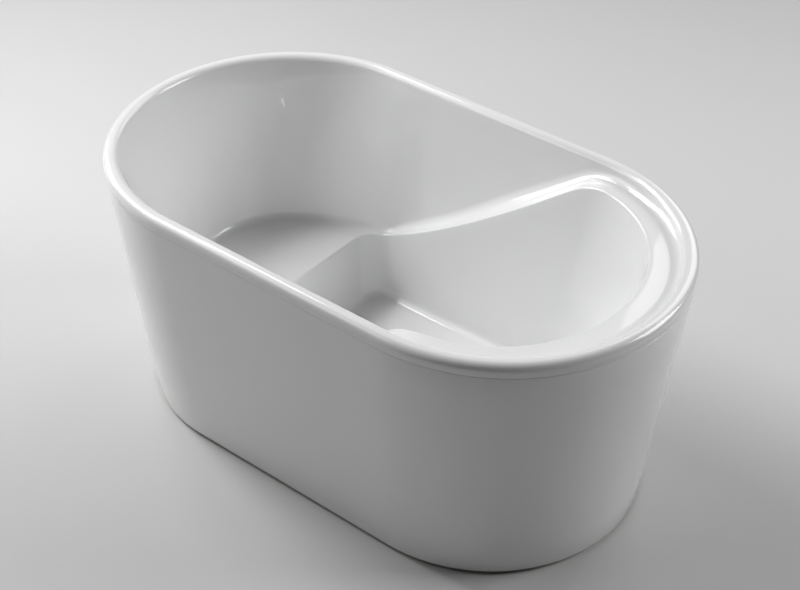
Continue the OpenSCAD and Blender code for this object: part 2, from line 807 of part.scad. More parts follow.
module waste_flange() {
    hub = cartridge_radius + 2.5;
    edge_bevel = 2;
    arm_width = 3.5;
    arm_root = 0.5;
    color("gainsboro") translate([drain_x, 0, 0]) union() {
        difference() {
            union() {
                translate([0, 0, flange_base])
                    cylinder(r1 = waste_flange_radius, r2 = waste_flange_radius - edge_bevel,
                        h = waste_flange_t);
                translate([0, 0, tail_base])
                    cylinder(r = waste_tail_radius, h = flange_base - tail_base);
            }
            translate([0, 0, tail_base - cut])
                cylinder(r = tail_bore, h = flange_crown - tail_base + 2 * cut);
            translate([0, 0, flange_base])
                cylinder(r1 = tail_bore, r2 = tail_bore + 2 * waste_flange_t + seal_land,
                    h = 2 * waste_flange_t);
        }
        difference() {
            union() {
                translate([0, 0, spider_z]) cylinder(r = hub, h = spider_height);
                for (a = [0, 60, 120])
                    translate([0, 0, spider_z + spider_height / 2]) rotate([0, 0, a])
                        cube([2 * (tail_bore + arm_root), arm_width, spider_height], center = true);
            }
            translate([0, 0, spider_z - cut])
                cylinder(r = cartridge_radius, h = spider_height + 2 * cut);
        }
    }
}

module waste_top_seal() {
    color("dimgray") translate([drain_x, 0, 0])
        tube(waste_flange_radius - top_seal_inset, waste_tail_radius + screw_clearance,
            top_seal_t, drain_seat);
}

module waste_bottom_seal() {
    color("dimgray") translate([drain_x, 0, 0])
        tube(body_flange_radius, waste_tail_radius + screw_clearance, bottom_seal_t, body_top);
}

module waste_body() {
    flange_h = 4;
    color("whitesmoke") translate([drain_x, 0, 0]) difference() {
        union() {
            translate([0, 0, body_top - flange_h]) cylinder(r = body_flange_radius, h = flange_h);
            translate([0, 0, body_base]) cylinder(r = body_radius, h = body_top - flange_h - body_base);
            translate([0, 0, skirt_gap]) cylinder(r = outlet_radius, h = outlet_length + cut);
            translate([0, 0, branch_z]) rotate([90, 0, 0])
                cylinder(r = socket_radius, h = -branch_end_y);
        }
        translate([0, 0, body_base + plastic_wall])
            cylinder(r = body_bore, h = body_top - body_base);
        translate([0, 0, skirt_gap - cut])
            cylinder(r = outlet_radius - plastic_wall, h = outlet_length + plastic_wall + 2 * cut);
        translate([0, 0, branch_z]) rotate([90, 0, 0])
            cylinder(r = pipe_radius - pipe_wall, h = -branch_end_y);
        translate([0, branch_end_y + socket_depth, branch_z]) rotate([90, 0, 0])
            cylinder(r = socket_bore, h = socket_depth + cut);
    }
}

module click_cartridge() {
    color("goldenrod") translate([drain_x, 0, 0])
        tube(cartridge_radius, stem_radius + stem_clearance, cartridge_top - cartridge_base,
            cartridge_base);
}

module stopper_cap() {
    dome_rise = 3;
    edge = 1;
    dome_reach = cap_radius - edge;
    dome_radius = (pow(dome_reach, 2) + pow(dome_rise, 2)) / (2 * dome_rise);
    dome_base = cap_t + dome_rise - dome_radius;
    color("gainsboro") translate([drain_x, 0, cap_base]) difference() {
        rotate_extrude() polygon(concat(
            [[0, 0], [dome_reach, 0], [cap_radius, edge], [cap_radius, cap_t - edge]],
            [for (x = [dome_reach : -dome_reach / 8 : 0])
                [x, dome_base + sqrt(pow(dome_radius, 2) - x * x)]],
            [[0, cap_t + dome_rise]]
        ));
        translate([0, 0, -cut]) cylinder(r = stem_radius, h = stem_seat + cut);
    }
}

module stopper_seal() {
    taper = 1;
    color("black") translate([drain_x, 0, cap_base - stopper_seal_t]) difference() {
        cylinder(r1 = tail_bore + taper, r2 = tail_bore + 2 * taper, h = stopper_seal_t);
        translate([0, 0, -cut])
            cylinder(r = stem_radius + stem_clearance, h = stopper_seal_t + 2 * cut);
    }
}

module stopper_stem() {
    stem_tip = 1;
    stem_end = cartridge_base - stem_tip;
    color("gainsboro") translate([drain_x, 0, stem_end])
        cylinder(r = stem_radius, h = cap_base + stem_seat - stem_end);
}

module overflow_cover() {
    slot_width = 1.2 * overflow_cover_radius;
    edge = 1.5;
    inside = overflow_cover_radius - cover_t;
    face_back = overflow_cover_depth - cover_t;
    color("gainsboro") on_overflow() difference() {
        rotate_extrude() polygon([
            [0, face_back], [inside, face_back], [inside, 0], [overflow_cover_radius, 0],
            [overflow_cover_radius, overflow_cover_depth - edge],
            [overflow_cover_radius - edge, overflow_cover_depth], [0, overflow_cover_depth]
        ]);
        translate([-slot_width / 2, 0, -cut])
            cube([slot_width, overflow_cover_radius + cut, overflow_cover_depth - 2 * cover_t + cut]);
        cylinder(r = cover_screw_radius + screw_clearance, h = overflow_cover_depth + cut);
    }
}

module overflow_screw() {
    head_h = 2.5;
    tip = elbow_front - elbow_depth + 2 * plastic_wall;
    color("gainsboro") on_overflow() union() {
        translate([0, 0, overflow_cover_depth])
            cylinder(r1 = 2 * cover_screw_radius, r2 = 1.6 * cover_screw_radius, h = head_h);
        translate([0, 0, tip]) cylinder(r = cover_screw_radius, h = overflow_cover_depth - tip);
    }
}

module overflow_seal() {
    color("dimgray") on_overflow()
        tube(elbow_radius, overflow_hole_radius, overflow_seal_t, elbow_front);
}

module overflow_elbow() {
    bore = elbow_radius - plastic_wall;
    back = elbow_front - elbow_depth;
    boss = cover_screw_radius + plastic_wall;
    boss_recess = 2;
    duct = elbow_depth / 2 - plastic_wall - 1;
    color("whitesmoke") on_overflow() difference() {
        union() {
            difference() {
                union() {
                    translate([0, 0, back]) cylinder(r = elbow_radius, h = elbow_depth);
                    translate([0, 0, pipe_offset]) rotate([-90, 0, 0])
                        cylinder(r = socket_radius, h = elbow_socket_end);
                }
                translate([0, 0, back + plastic_wall]) cylinder(r = bore, h = elbow_depth);
            }
            translate([0, 0, back]) cylinder(r = boss, h = elbow_depth - boss_recess);
        }
        translate([0, boss, pipe_offset]) rotate([-90, 0, 0])
            cylinder(r = duct, h = elbow_socket_end);
        translate([0, elbow_socket_start, pipe_offset]) rotate([-90, 0, 0])
            cylinder(r = socket_bore, h = socket_depth + cut);
        translate([0, 0, back + plastic_wall])
            cylinder(r = cover_screw_radius + screw_clearance, h = elbow_depth);
    }
}

module overflow_pipe() {
    color("whitesmoke") on_overflow() translate([0, 0, pipe_offset]) rotate([-90, 0, 0])
        tube(pipe_radius, pipe_radius - pipe_wall, bend_start - elbow_socket_start,
            elbow_socket_start);
}

module overflow_bend() {
    bend_wall = pipe_wall + 1;
    root = 2;
    color("whitesmoke") union() {
        translate([drain_x, run_start_y, branch_z + bend_radius]) rotate([90, 0, 90])
            rotate([0, 0, 270 - bend_turn]) rotate_extrude(angle = bend_turn)
                translate([bend_radius, 0]) difference() {
                    circle(r = pipe_radius - pipe_wall + bend_wall);
                    circle(r = pipe_radius - pipe_wall);
                }
        on_overflow() translate([0, 0, pipe_offset]) rotate([-90, 0, 0])
            tube(socket_radius, socket_bore, socket_depth + root, bend_start - socket_depth);
        translate([drain_x, run_start_y, branch_z]) rotate([-90, 0, 0])
            tube(socket_radius, socket_bore, socket_depth + root, -root);
    }
}

module branch_pipe() {
    color("whitesmoke") translate([drain_x, run_start_y, branch_z]) rotate([-90, 0, 0])
        tube(pipe_radius, pipe_radius - pipe_wall, branch_end_y + socket_depth - run_start_y, 0);
}

module pipe_nut() {
    nut_length = 10;
    nut_margin = 3;
    color("dimgray") translate([drain_x, branch_end_y + nut_length, branch_z]) rotate([90, 0, 0])
        hex_nut(2 * (socket_radius + nut_margin), socket_radius + screw_clearance, nut_length, 0);
}

basin();
skirt();
floor_board();
seat_board();
rail(-1);  // rail_front
rail(1);  // rail_back
for (i = [0 : 4]) {
    cross(i);
    foot_stud(i);
    foot_pad(i);
}
for (i = [0 : 3])
    post(cross_x[floor(i / 2)], i % 2 == 0 ? -1 : 1);
for (i = [0 : 1])
    bearer(cross_x[i]);
for (i = [0 : 5])
    bracket(1 + floor(i / 2), i % 2 == 0 ? -1 : 1);
bracket_screws();
board_screws();
rail_caps();
stud_nuts(weld_nut_height, weld_nut_base);  // weld_nuts
stud_nuts(lock_nut_height, lock_nut_base);  // lock_nuts
waste_flange();
waste_top_seal();
waste_bottom_seal();
waste_body();
click_cartridge();
stopper_cap();
stopper_seal();
stopper_stem();
overflow_cover();
overflow_screw();
overflow_seal();
overflow_elbow();
overflow_pipe();
overflow_bend();
branch_pipe();
pipe_nut();
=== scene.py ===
# %% [markdown]
# # A round-ended free-standing bath
# The bath is two moulded acrylic shells: a basin that folds over at the rim, and a skirt
# that hangs from the fold and stands just clear of the floor. Inside are a steel frame,
# levelling feet, a click waste and an overflow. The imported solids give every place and
# size. This script puts smooth, finished surfaces round them.

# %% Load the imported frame
import math

import bpy
import numpy as np
from mathutils import Matrix, Vector


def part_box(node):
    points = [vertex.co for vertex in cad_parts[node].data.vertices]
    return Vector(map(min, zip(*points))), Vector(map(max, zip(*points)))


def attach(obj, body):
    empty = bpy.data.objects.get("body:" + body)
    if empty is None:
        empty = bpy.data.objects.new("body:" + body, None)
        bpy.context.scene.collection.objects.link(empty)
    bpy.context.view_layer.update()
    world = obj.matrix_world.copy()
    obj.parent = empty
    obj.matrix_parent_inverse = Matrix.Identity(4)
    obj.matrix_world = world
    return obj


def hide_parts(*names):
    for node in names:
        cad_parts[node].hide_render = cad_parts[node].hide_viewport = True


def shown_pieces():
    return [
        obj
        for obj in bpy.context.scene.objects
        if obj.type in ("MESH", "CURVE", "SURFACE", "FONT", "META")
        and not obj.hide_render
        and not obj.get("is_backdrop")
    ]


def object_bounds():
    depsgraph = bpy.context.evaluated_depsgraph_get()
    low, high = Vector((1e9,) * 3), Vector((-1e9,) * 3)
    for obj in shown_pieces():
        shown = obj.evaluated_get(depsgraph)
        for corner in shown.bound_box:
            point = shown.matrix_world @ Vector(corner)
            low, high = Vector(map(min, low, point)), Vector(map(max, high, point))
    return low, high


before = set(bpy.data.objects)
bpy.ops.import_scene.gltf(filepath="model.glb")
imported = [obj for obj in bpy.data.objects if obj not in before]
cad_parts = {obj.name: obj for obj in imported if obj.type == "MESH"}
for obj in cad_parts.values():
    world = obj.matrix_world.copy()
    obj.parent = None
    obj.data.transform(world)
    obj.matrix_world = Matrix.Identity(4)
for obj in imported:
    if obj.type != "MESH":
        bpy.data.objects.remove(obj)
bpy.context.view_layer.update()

# %% [markdown]
# ## The camera
# A picture of an object is only comparable with another when both come from one viewpoint.
# The camera stands at head height beside the ledge's end, looks down at the rim, and its
# lens is longer than the eye's, so the long oval is drawn with little distortion.

# %% Camera
MM = 0.001
VIEW_YAW = math.radians(38.928)
VIEW_PITCH = math.radians(37.842)
VIEW_ROLL = math.radians(0.101)
VIEW_DISTANCE = 3.7787
VIEW_TARGET = Vector((0.0253, 0.0043, 0.350))
SENSOR_WIDTH, LENS = 36.0, 76.5


def camera_axes(yaw, pitch, roll):
    """Right, up and back of a camera that is turned by yaw about Z, tipped down by pitch,
    and rolled about its own line of sight."""
    back = Vector((math.sin(yaw) * math.cos(pitch), -math.cos(yaw) * math.cos(pitch),
                   math.sin(pitch)))
    right = Vector((math.cos(yaw), math.sin(yaw), 0.0))
    up = back.cross(right)
    return (right * math.cos(roll) + up * math.sin(roll),
            up * math.cos(roll) - right * math.sin(roll), back)


camera_data = bpy.data.cameras.new("camera")
camera_data.sensor_width, camera_data.lens = SENSOR_WIDTH, LENS
camera = bpy.data.objects.new("camera", camera_data)
right, up, back = camera_axes(VIEW_YAW, VIEW_PITCH, VIEW_ROLL)
place = VIEW_TARGET + back * VIEW_DISTANCE
camera.matrix_world = Matrix((
    (right.x, up.x, back.x, place.x),
    (right.y, up.y, back.y, place.y),
    (right.z, up.z, back.z, place.z),
    (0.0, 0.0, 0.0, 1.0)))
bpy.context.scene.collection.objects.link(camera)
bpy.context.scene.camera = camera
print("camera at", [round(c, 3) for c in place])

# %% [markdown]
# ## Surfaces as grids
# A moulded shell is easiest to describe as a grid: rings that follow its section, and
# stations that run round it in plan. numpy works out every point of the grid at once. A
# shell here is a pair: its points in millimetres and its faces. Each shell is closed, so the
# volume it encloses tells which way its faces point, and they are turned outwards.


# %% Grid helpers
def grid_faces(rings, stations, closed):
    """Quads between neighbouring rings. Stations always close; rings close if asked."""
    j = np.arange(rings if closed else rings - 1)[:, None]
    k = np.arange(stations)[None, :]
    n, m = (j + 1) % rings, (k + 1) % stations
    corners = (j * stations + k, j * stations + m, n * stations + m, n * stations + k)
    return np.stack(corners, -1).reshape(-1, 4)


def enclosed_volume(points, faces):
    """Sum of the tetrahedra from the first point to each face, with each quad cut in two."""
    total, points = 0.0, points - points[:1]
    for tri in ([(0, 1, 2)] if faces.shape[1] == 3 else [(0, 1, 2), (0, 2, 3)]):
        a, b, c = (points[faces[:, i]] for i in tri)
        total += float(np.einsum("ij,ij->i", a, np.cross(b, c)).sum()) / 6.0
    return total


def outward(points, face_sets):
    """A shell whose faces are turned round together if they enclose a negative volume."""
    volume = sum(enclosed_volume(points, f) for f in face_sets)
    return points, [f[:, ::-1] for f in face_sets] if volume < 0.0 else face_sets


def closed_grid(grid):
    """A shell from rings that close on themselves, like the skin of a ring or a tube."""
    rings, stations = grid.shape[:2]
    return outward(grid.reshape(-1, 3), [grid_faces(rings, stations, True)])


def capped_grid(grid, first, last):
    """A shell from open rings whose two ends are closed by fans round two given points."""
    rings, stations = grid.shape[:2]
    points = np.concatenate([grid.reshape(-1, 3), [first], [last]])
    k = np.arange(stations)
    m, start, end = (k + 1) % stations, rings * stations, rings * stations + 1
    base = (rings - 1) * stations
    fans = np.concatenate([np.stack([m, k, np.full(stations, start)], -1),
                           np.stack([base + k, base + m, np.full(stations, end)], -1)])
    return outward(points, [grid_faces(rings, stations, False), fans])


SMOOTH_ANGLE = math.radians(35.0)


def new_piece(name, shells, body, nodes, slot):
    """One object at the origin from shells in millimetres. It rides on a body, stands for
    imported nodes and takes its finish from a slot."""
    points, faces, offset, volume = [], [], 0, 0.0
    for shell_points, face_sets in shells:
        volume += sum(enclosed_volume(shell_points, f) for f in face_sets)
        points.append(shell_points)
        faces += [(f + offset).tolist() for f in face_sets]
        offset += len(shell_points)
    mesh = bpy.data.meshes.new(name)
    mesh.from_pydata((np.concatenate(points) * MM).tolist(), [], sum(faces, []))
    mesh.shade_smooth()
    mesh.set_sharp_from_angle(angle=SMOOTH_ANGLE)
    mesh.update()
    piece = bpy.data.objects.new(name, mesh)
    bpy.context.scene.collection.objects.link(piece)
    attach(piece, body)
    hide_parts(*nodes)
    piece["finish"] = slot
    print(f"{name}: {len(mesh.polygons)} faces, {volume / 1000:.1f} cm3")
    return piece


# %% [markdown]
# ## Sizes of the shells
# These are the driving sizes of the two mouldings, in millimetres. The outer wall leans in
# from the rim to the floor, and the ends are true half circles in plan. The backrest leans
# more than the long sides, and its lean fades out in front of the seat.

# %% Sizes
LENGTH, WIDTH, HEIGHT = 1400.0, 808.0, 630.0
END_LEAN, SIDE_LEAN, SKIRT_GAP = 73.0, 55.0, 10.0
RIM_OUTER_R, RIM_FLAT, RIM_INNER_R = 17.0, 2.0, 18.0
LIP_BASE = HEIGHT - 31.0
BACK_ANGLE, SIDE_ANGLE = math.radians(17.0), math.radians(8.5)
FADE_START, FADE_LENGTH = 130.0, 240.0
SEAT_Z, LEDGE_Z, FLOOR_Z, DISH_Z = 242.0, 601.0, 81.0, 79.0
SEAT_FRONT_X, RISER_ANGLE = -286.0, math.radians(10.5)
LEDGE_WIDTH, ARMREST_WIDTH = 109.0, 90.0
SEAT_FILLET, ARMREST_FILLET, FILLET_BIAS = 26.0, 45.0, 1.3
SLOPE_FOOT = (-258.0, 82.0, math.radians(25.0))
SLOPE_HEAD = (348.0, 148.0, math.radians(38.0))
WELL_ANGLE, WELL_END_DEPTH = math.radians(6.0), 290.0
WELL_CORNER_R, WELL_EDGE_R, WELL_FILLET_R = 65.0, 5.0, 25.0
SHELL_T, FLOOR_BACK_Z = 5.0, 74.0
DRAIN_X, DRAIN_R, DISH_R = 60.0, 26.0, 50.0
RIM_ARC_Z = HEIGHT - RIM_OUTER_R
RIM_TOP_INSET = RIM_OUTER_R + RIM_FLAT

# %% [markdown]
# ## Stations round the bath
# Every plan outline has the same stations, so neighbouring rings always join like to like:
# the ledge's end, the far side, the seat's end and the near side. The rim is a stadium. The
# well's outline has an elliptical end, two straight sides and, across the seat's end, a
# straight riser between two corner arcs.

# %% Plan outlines
END_STEPS, SIDE_STEPS, CORNER_STEPS = 96, 60, 24
ledge_turn = np.radians(np.arange(END_STEPS) * 180.0 / END_STEPS - 90.0)
seat_turn = ledge_turn + math.pi
side_share = np.arange(SIDE_STEPS) / SIDE_STEPS
STATIONS = 2 * (END_STEPS + SIDE_STEPS)


def stretches(counts, *values):
    """One number for each station, from a value or a row of values for each stretch."""
    return np.concatenate([np.broadcast_to(v, n) for v, n in zip(values, counts)])


RIM_STEPS = (END_STEPS, SIDE_STEPS, END_STEPS, SIDE_STEPS)
RIM_CENTRE = stretches(RIM_STEPS, 1, 1 - 2 * side_share, -1, 2 * side_share - 1)
RIM_X = stretches(RIM_STEPS, np.cos(ledge_turn), 0, np.cos(seat_turn), 0)
RIM_Y = stretches(RIM_STEPS, np.sin(ledge_turn), 1, np.sin(seat_turn), -1)


def stadium(half_length, half_width):
    """Two half circles of radius half_width, joined by straight sides."""
    centre = half_length - half_width
    return centre * RIM_CENTRE + half_width * RIM_X, half_width * RIM_Y


def column(values):
    """One value for each ring, as a column that spreads over the stations."""
    return np.asarray(values, float).reshape(-1, 1)


def rings(x, y, z):
    """Stacks coordinates into an array of rings, stations and three numbers."""
    return np.stack(np.broadcast_arrays(x, y, z), -1)


def rim_rings(inset, z):
    """The rim's outline moved in by inset, at height z."""
    inset = np.asarray(inset, float)
    x, y = stadium(LENGTH / 2 - inset, WIDTH / 2 - inset)
    return rings(x, y, z)


def wall_rings(inset, z):
    """The outer wall, which leans in evenly below the rim, moved in by inset at height z."""
    drop = (RIM_ARC_Z - z) / RIM_ARC_Z
    x, y = stadium(LENGTH / 2 - END_LEAN * drop - inset, WIDTH / 2 - SIDE_LEAN * drop - inset)
    return rings(x, y, z)


corner_turn = np.radians(np.arange(CORNER_STEPS) * 90.0 / CORNER_STEPS)
riser_count = END_STEPS - 2 * CORNER_STEPS
riser_share = 1 - 2 * np.arange(riser_count) / riser_count
first_turn, second_turn = corner_turn + math.pi / 2, corner_turn + math.pi

WELL_STEPS = (END_STEPS, SIDE_STEPS, CORNER_STEPS, riser_count, CORNER_STEPS, SIDE_STEPS)
WELL_CENTRE = stretches(WELL_STEPS, 1, 1 - side_share, 0, 0, 0, side_share)
WELL_END = stretches(WELL_STEPS, np.cos(ledge_turn), 0, 0, 0, 0, 0)
WELL_CORNER_C = stretches(WELL_STEPS, 0, side_share, 1, 1, 1, 1 - side_share)
WELL_CORNER_X = stretches(WELL_STEPS, 0, 0, np.cos(first_turn), -1, np.cos(second_turn), 0)
WELL_HALF = stretches(WELL_STEPS, np.sin(ledge_turn), 1, 0, 0, 0, -1)
WELL_CORNER_Y = stretches(WELL_STEPS, 0, 0, 1, riser_share, -1, 0)
WELL_CORNER_S = stretches(WELL_STEPS, 0, 0, np.sin(first_turn), 0, np.sin(second_turn), 0)


def well_plan(z, out):
    """The well's outline at height z, moved outward by out: x and y for every station."""
    lean = math.tan(WELL_ANGLE) * (LEDGE_Z - z)
    half_width = WIDTH / 2 - ARMREST_WIDTH - lean + out
    centre_x = LENGTH / 2 - LEDGE_WIDTH - lean - WELL_END_DEPTH
    riser_x = SEAT_FRONT_X + math.tan(RISER_ANGLE) * (SEAT_Z - z) - out
    corner = WELL_CORNER_R + out
    x = (centre_x * WELL_CENTRE + (WELL_END_DEPTH + out) * WELL_END
         + (riser_x + corner) * WELL_CORNER_C + corner * WELL_CORNER_X)
    y = (half_width * WELL_HALF + (half_width - corner) * WELL_CORNER_Y
         + corner * WELL_CORNER_S)
    return x, y


print("stations:", STATIONS)

# %% [markdown]
# ## The armrest's sweep
# Seen from the side, the top of the moulding inside the rim is one line: the flat seat, a
# sweep that climbs slowly and then steeply, and the flat ledge. Two arcs meet the flats,
# and a cubic joins the arcs with the same slope at both joints.


# %% Armrest line
def armrest_height(x):
    """Height of seat, armrest and ledge at x: flat, arc, cubic, arc, flat."""
    foot_x, foot_r, foot_a = SLOPE_FOOT
    head_x, head_r, head_a = SLOPE_HEAD
    x1, z1 = foot_x + foot_r * math.sin(foot_a), SEAT_Z + foot_r * (1 - math.cos(foot_a))
    x2, z2 = head_x - head_r * math.sin(head_a), LEDGE_Z - head_r * (1 - math.cos(head_a))
    t = (x - x1) / (x2 - x1)
    m1, m2 = math.tan(foot_a) * (x2 - x1), math.tan(head_a) * (x2 - x1)
    foot = SEAT_Z + foot_r - np.sqrt(np.maximum(foot_r ** 2 - (x - foot_x) ** 2, 0))
    cubic = ((2 * t ** 3 - 3 * t ** 2 + 1) * z1 + (t ** 3 - 2 * t ** 2 + t) * m1
             + (3 * t ** 2 - 2 * t ** 3) * z2 + (t ** 3 - t ** 2) * m2)
    head = LEDGE_Z - head_r + np.sqrt(np.maximum(head_r ** 2 - (head_x - x) ** 2, 0))
    conditions = [x <= foot_x, x < x1, x < x2, x < head_x]
    return np.select(conditions, [SEAT_Z, foot, cubic, head], LEDGE_Z)


def well_edge(out, drop):
    """The well's wall where it is drop below the armrest's surface, moved out by out."""
    out, drop = column(out), column(drop)
    level = armrest_height(well_plan(LEDGE_Z, out)[0])
    level = armrest_height(well_plan(level, out)[0])
    x, y = well_plan(level - drop, out)
    return rings(x, y, armrest_height(x) - drop)


print("armrest at x = 0:", round(float(armrest_height(np.array(0.0))), 1), "mm")

# %% [markdown]
# ## The basin
# The basin is one thermoformed sheet. Its section at each station is a chain of arcs and
# straight walls: dish, floor, fillet, well wall, well edge, armrest, fillet, upper wall, the
# rolled crown and the folded lip, and then the same chain back on the hidden side, one sheet
# thickness away. The chain starts and ends at the waste hole, so the grid closes on itself.
# The wall's lean and its lower fillet change along the bath, so each has a value per station.
# Where the well's corner comes close to the wall, the fillet is tighter, and the armrest
# keeps a width.


# %% Basin section
def mark_back(piece, back_rings):
    """Gives the second material to the strips of faces that start at the marked rings."""
    index = np.repeat(np.asarray(back_rings, np.int32), STATIONS)
    piece.data.polygons.foreach_set("material_index", index)


def arc(count, first=0.0, last=1.0):
    """Evenly spaced shares of an arc, as a column."""
    return column(np.linspace(first, last, count))


def between(start, end, count):
    """Rings evenly spaced from one ring to another, without either of them."""
    t = column(np.arange(1, count + 1) / (count + 1))[..., None]
    return start[-1:] * (1 - t) + end[:1] * t


station_x = rim_rings(ARMREST_WIDTH, 0.0)[..., 0]
level = armrest_height(station_x)
fade = np.clip((SEAT_FRONT_X + FADE_START - station_x) / FADE_LENGTH, 0, 1)
wall_lean = SIDE_ANGLE + (BACK_ANGLE - SIDE_ANGLE) * fade ** 2 * (3 - 2 * fade)
climb = np.clip((station_x - SLOPE_FOOT[0]) / (SLOPE_HEAD[0] - SLOPE_FOOT[0]), 0, 1)
swell = np.sin(math.pi * climb ** FILLET_BIAS) ** 2
NARROW_X, NARROW_SPAN, NARROW_CUT = -242.0, 25.0, 8.0
narrow = np.exp(-((station_x - NARROW_X) / NARROW_SPAN) ** 2)
WALL_FILLET = SEAT_FILLET + (ARMREST_FILLET - SEAT_FILLET) * swell - NARROW_CUT * narrow
least_wall = 1.0
reach = 1 - (HEIGHT - level - least_wall) / (RIM_INNER_R + WALL_FILLET)
TURN = np.minimum(math.pi / 2 - wall_lean, np.arccos(np.maximum(reach, -1.0)))
arc_inset = RIM_TOP_INSET + RIM_INNER_R * np.sin(TURN)
arc_z = HEIGHT - RIM_INNER_R * (1 - np.cos(TURN))
foot_z = level + WALL_FILLET * (1 - np.cos(TURN))
FILLET_INSET = (arc_inset + (arc_z - foot_z) / np.tan(TURN)
                + WALL_FILLET * np.sin(TURN))
FILLET_Z = level + WALL_FILLET
FLOOR_TURN = math.pi / 2 - WELL_ANGLE
FLOOR_WALL_Z = FLOOR_Z + WELL_FILLET_R * (1 - math.cos(FLOOR_TURN))


def drain_rings(plan, radius, z):
    """A circle round the waste, with each station in the direction of its floor point."""
    dx, dy = plan[..., 0] - DRAIN_X, plan[..., 1]
    reach = column(radius) / np.hypot(dx, dy)
    return rings(DRAIN_X + dx * reach, dy * reach, column(z))


def floor_fillet(share, radius):
    """The arc between the well's wall and its floor, or its hidden side."""
    a = FLOOR_TURN * share
    x, y = well_plan(FLOOR_WALL_Z, radius * np.sin(a) - WELL_FILLET_R * math.sin(FLOOR_TURN))
    return rings(x, y, FLOOR_Z + WELL_FILLET_R - radius * np.cos(a))


def armrest_fillet(share, radius):
    """The arc between armrest and upper wall, about the same centre on both sides."""
    a = TURN * share
    return rim_rings(FILLET_INSET - radius * np.sin(a), FILLET_Z - radius * np.cos(a))


def crown_inner(share, radius):
    """The crown's inner arc, about the same centre on both sides."""
    a = TURN * share
    return rim_rings(RIM_TOP_INSET + radius * np.sin(a),
                     HEIGHT - RIM_INNER_R + radius * np.cos(a))


def crown_outer(share, radius):
    """The crown's outer arc, from the flat down to the wall."""
    a = math.pi / 2 * share
    return rim_rings(RIM_OUTER_R - radius * np.cos(a), RIM_ARC_Z + radius * np.sin(a))


def nearest_stations(inner, outer):
    """For each outer point, where the inner outline comes nearest, counted in stations."""
    step = np.roll(inner, -1, axis=0) - inner
    apart = outer[:, None] - inner
    share = np.clip((apart * step).sum(-1) / (step ** 2).sum(-1), 0, 1)
    gap = np.linalg.norm(apart - share[..., None] * step, axis=-1)
    own = np.arange(STATIONS)
    place = gap.argmin(axis=1)
    shift = place + share[own, place] - own
    return own + (shift + STATIONS / 2) % STATIONS - STATIONS / 2


def armrest_top(edge, wall, count):
    """Rings across the armrest. They slide along the well's edge to the places nearest the
    wall's stations, so no strip cuts the corner. Each height comes from the armrest's line,
    and what the line misses at either side fades out towards the other."""
    own = np.arange(STATIONS)
    place = nearest_stations(edge[-1, :, :2], wall[0, :, :2])
    made = []
    for t in np.arange(1, count + 1) / (count + 1):
        at = own * (1 - t) + place * t
        point, miss = np.zeros((STATIONS, 2)), np.zeros(STATIONS)
        for side, known, weight in ((edge[-1], own, 1 - t), (wall[0], place, t)):
            for k in range(2):
                point[:, k] += weight * np.interp(at, known, side[:, k], period=STATIONS)
            off = side[:, 2] - armrest_height(side[:, 0])
            miss += weight * np.interp(at, known, off, period=STATIONS)
        made.append(rings(point[:, 0], point[:, 1], armrest_height(point[:, 0]) + miss))
    return np.stack(made)


edge_turn = math.pi / 2 * np.linspace(0, 1, 9)
floor_edge = floor_fillet(arc(12), WELL_FILLET_R)
dish = drain_rings(floor_edge[:1], [DRAIN_R, DISH_R], [DISH_Z, DISH_Z])
edge = well_edge(WELL_EDGE_R * (1 - np.cos(edge_turn)), WELL_EDGE_R * (1 - np.sin(edge_turn)))
upper_fillet = armrest_fillet(arc(14), WALL_FILLET)
crown_in = crown_inner(arc(14, 1.0, 0.0), RIM_INNER_R)
crown_out = crown_outer(arc(18, 1.0, 0.0), RIM_OUTER_R)
lip_round = 1.2
lip_turn = math.pi / 2 * column(np.linspace(0, 1, 5))
lip = wall_rings(lip_round * (1 - np.cos(lip_turn)),
                 LIP_BASE + lip_round * (1 - np.sin(lip_turn)))
show_side = [dish, between(dish, floor_edge, 7), floor_edge, between(floor_edge, edge, 12),
             edge, armrest_top(edge, upper_fillet, 7), upper_fillet,
             between(upper_fillet, crown_in, 10), crown_in, crown_out,
             between(crown_out, lip, 2), lip]

hidden_lip = wall_rings(SHELL_T, column([LIP_BASE, RIM_ARC_Z]))
hidden_out = crown_outer(arc(8, 0.1, 1.0), RIM_OUTER_R - SHELL_T)
hidden_in = crown_inner(arc(8), RIM_INNER_R - SHELL_T)
hidden_fillet = armrest_fillet(arc(10, 1.0, 0.0), WALL_FILLET + SHELL_T)
hidden_edge = well_edge([SHELL_T], [SHELL_T])
hidden_floor = floor_fillet(arc(8, 1.0, 0.25), WELL_FILLET_R + SHELL_T)
FOOT_SHARE = 0.8
x, y = well_plan(FLOOR_WALL_Z, -FOOT_SHARE * WELL_FILLET_R)
hidden_foot = rings(x, y, column([FLOOR_BACK_Z]))
hidden_hole = drain_rings(hidden_foot, [DRAIN_R], [FLOOR_BACK_Z])
hidden_side = [hidden_lip, hidden_out, hidden_in, between(hidden_in, hidden_fillet, 8),
               hidden_fillet, armrest_top(hidden_edge, hidden_fillet[-1:], 7)[::-1],
               hidden_edge,
               between(hidden_edge, hidden_floor, 10), hidden_floor, hidden_foot,
               between(hidden_foot, hidden_hole, 5), hidden_hole]
show_count = sum(len(s) for s in show_side)
section = np.concatenate(show_side + hidden_side)
basin = new_piece("basin_shell", [closed_grid(section)], "tub", ["basin"], "white_acrylic")
mark_back(basin, np.arange(len(section)) >= show_count - 1)

# %% [markdown]
# ## The skirt
# The skirt is a second sheet. It hangs from the folded lip, leans in to the floor, and turns
# in at its foot to a flange that the frame's brackets hold. Its section is a closed loop.


# %% Skirt section
def rounded(corner, first, last, radius, count=4):
    """Shares of a quarter turn round a convex corner of the skirt, as inset and height."""
    a = np.linspace(first, last, count)
    return [(corner[0] + radius * math.cos(t), corner[1] + radius * math.sin(t)) for t in a]


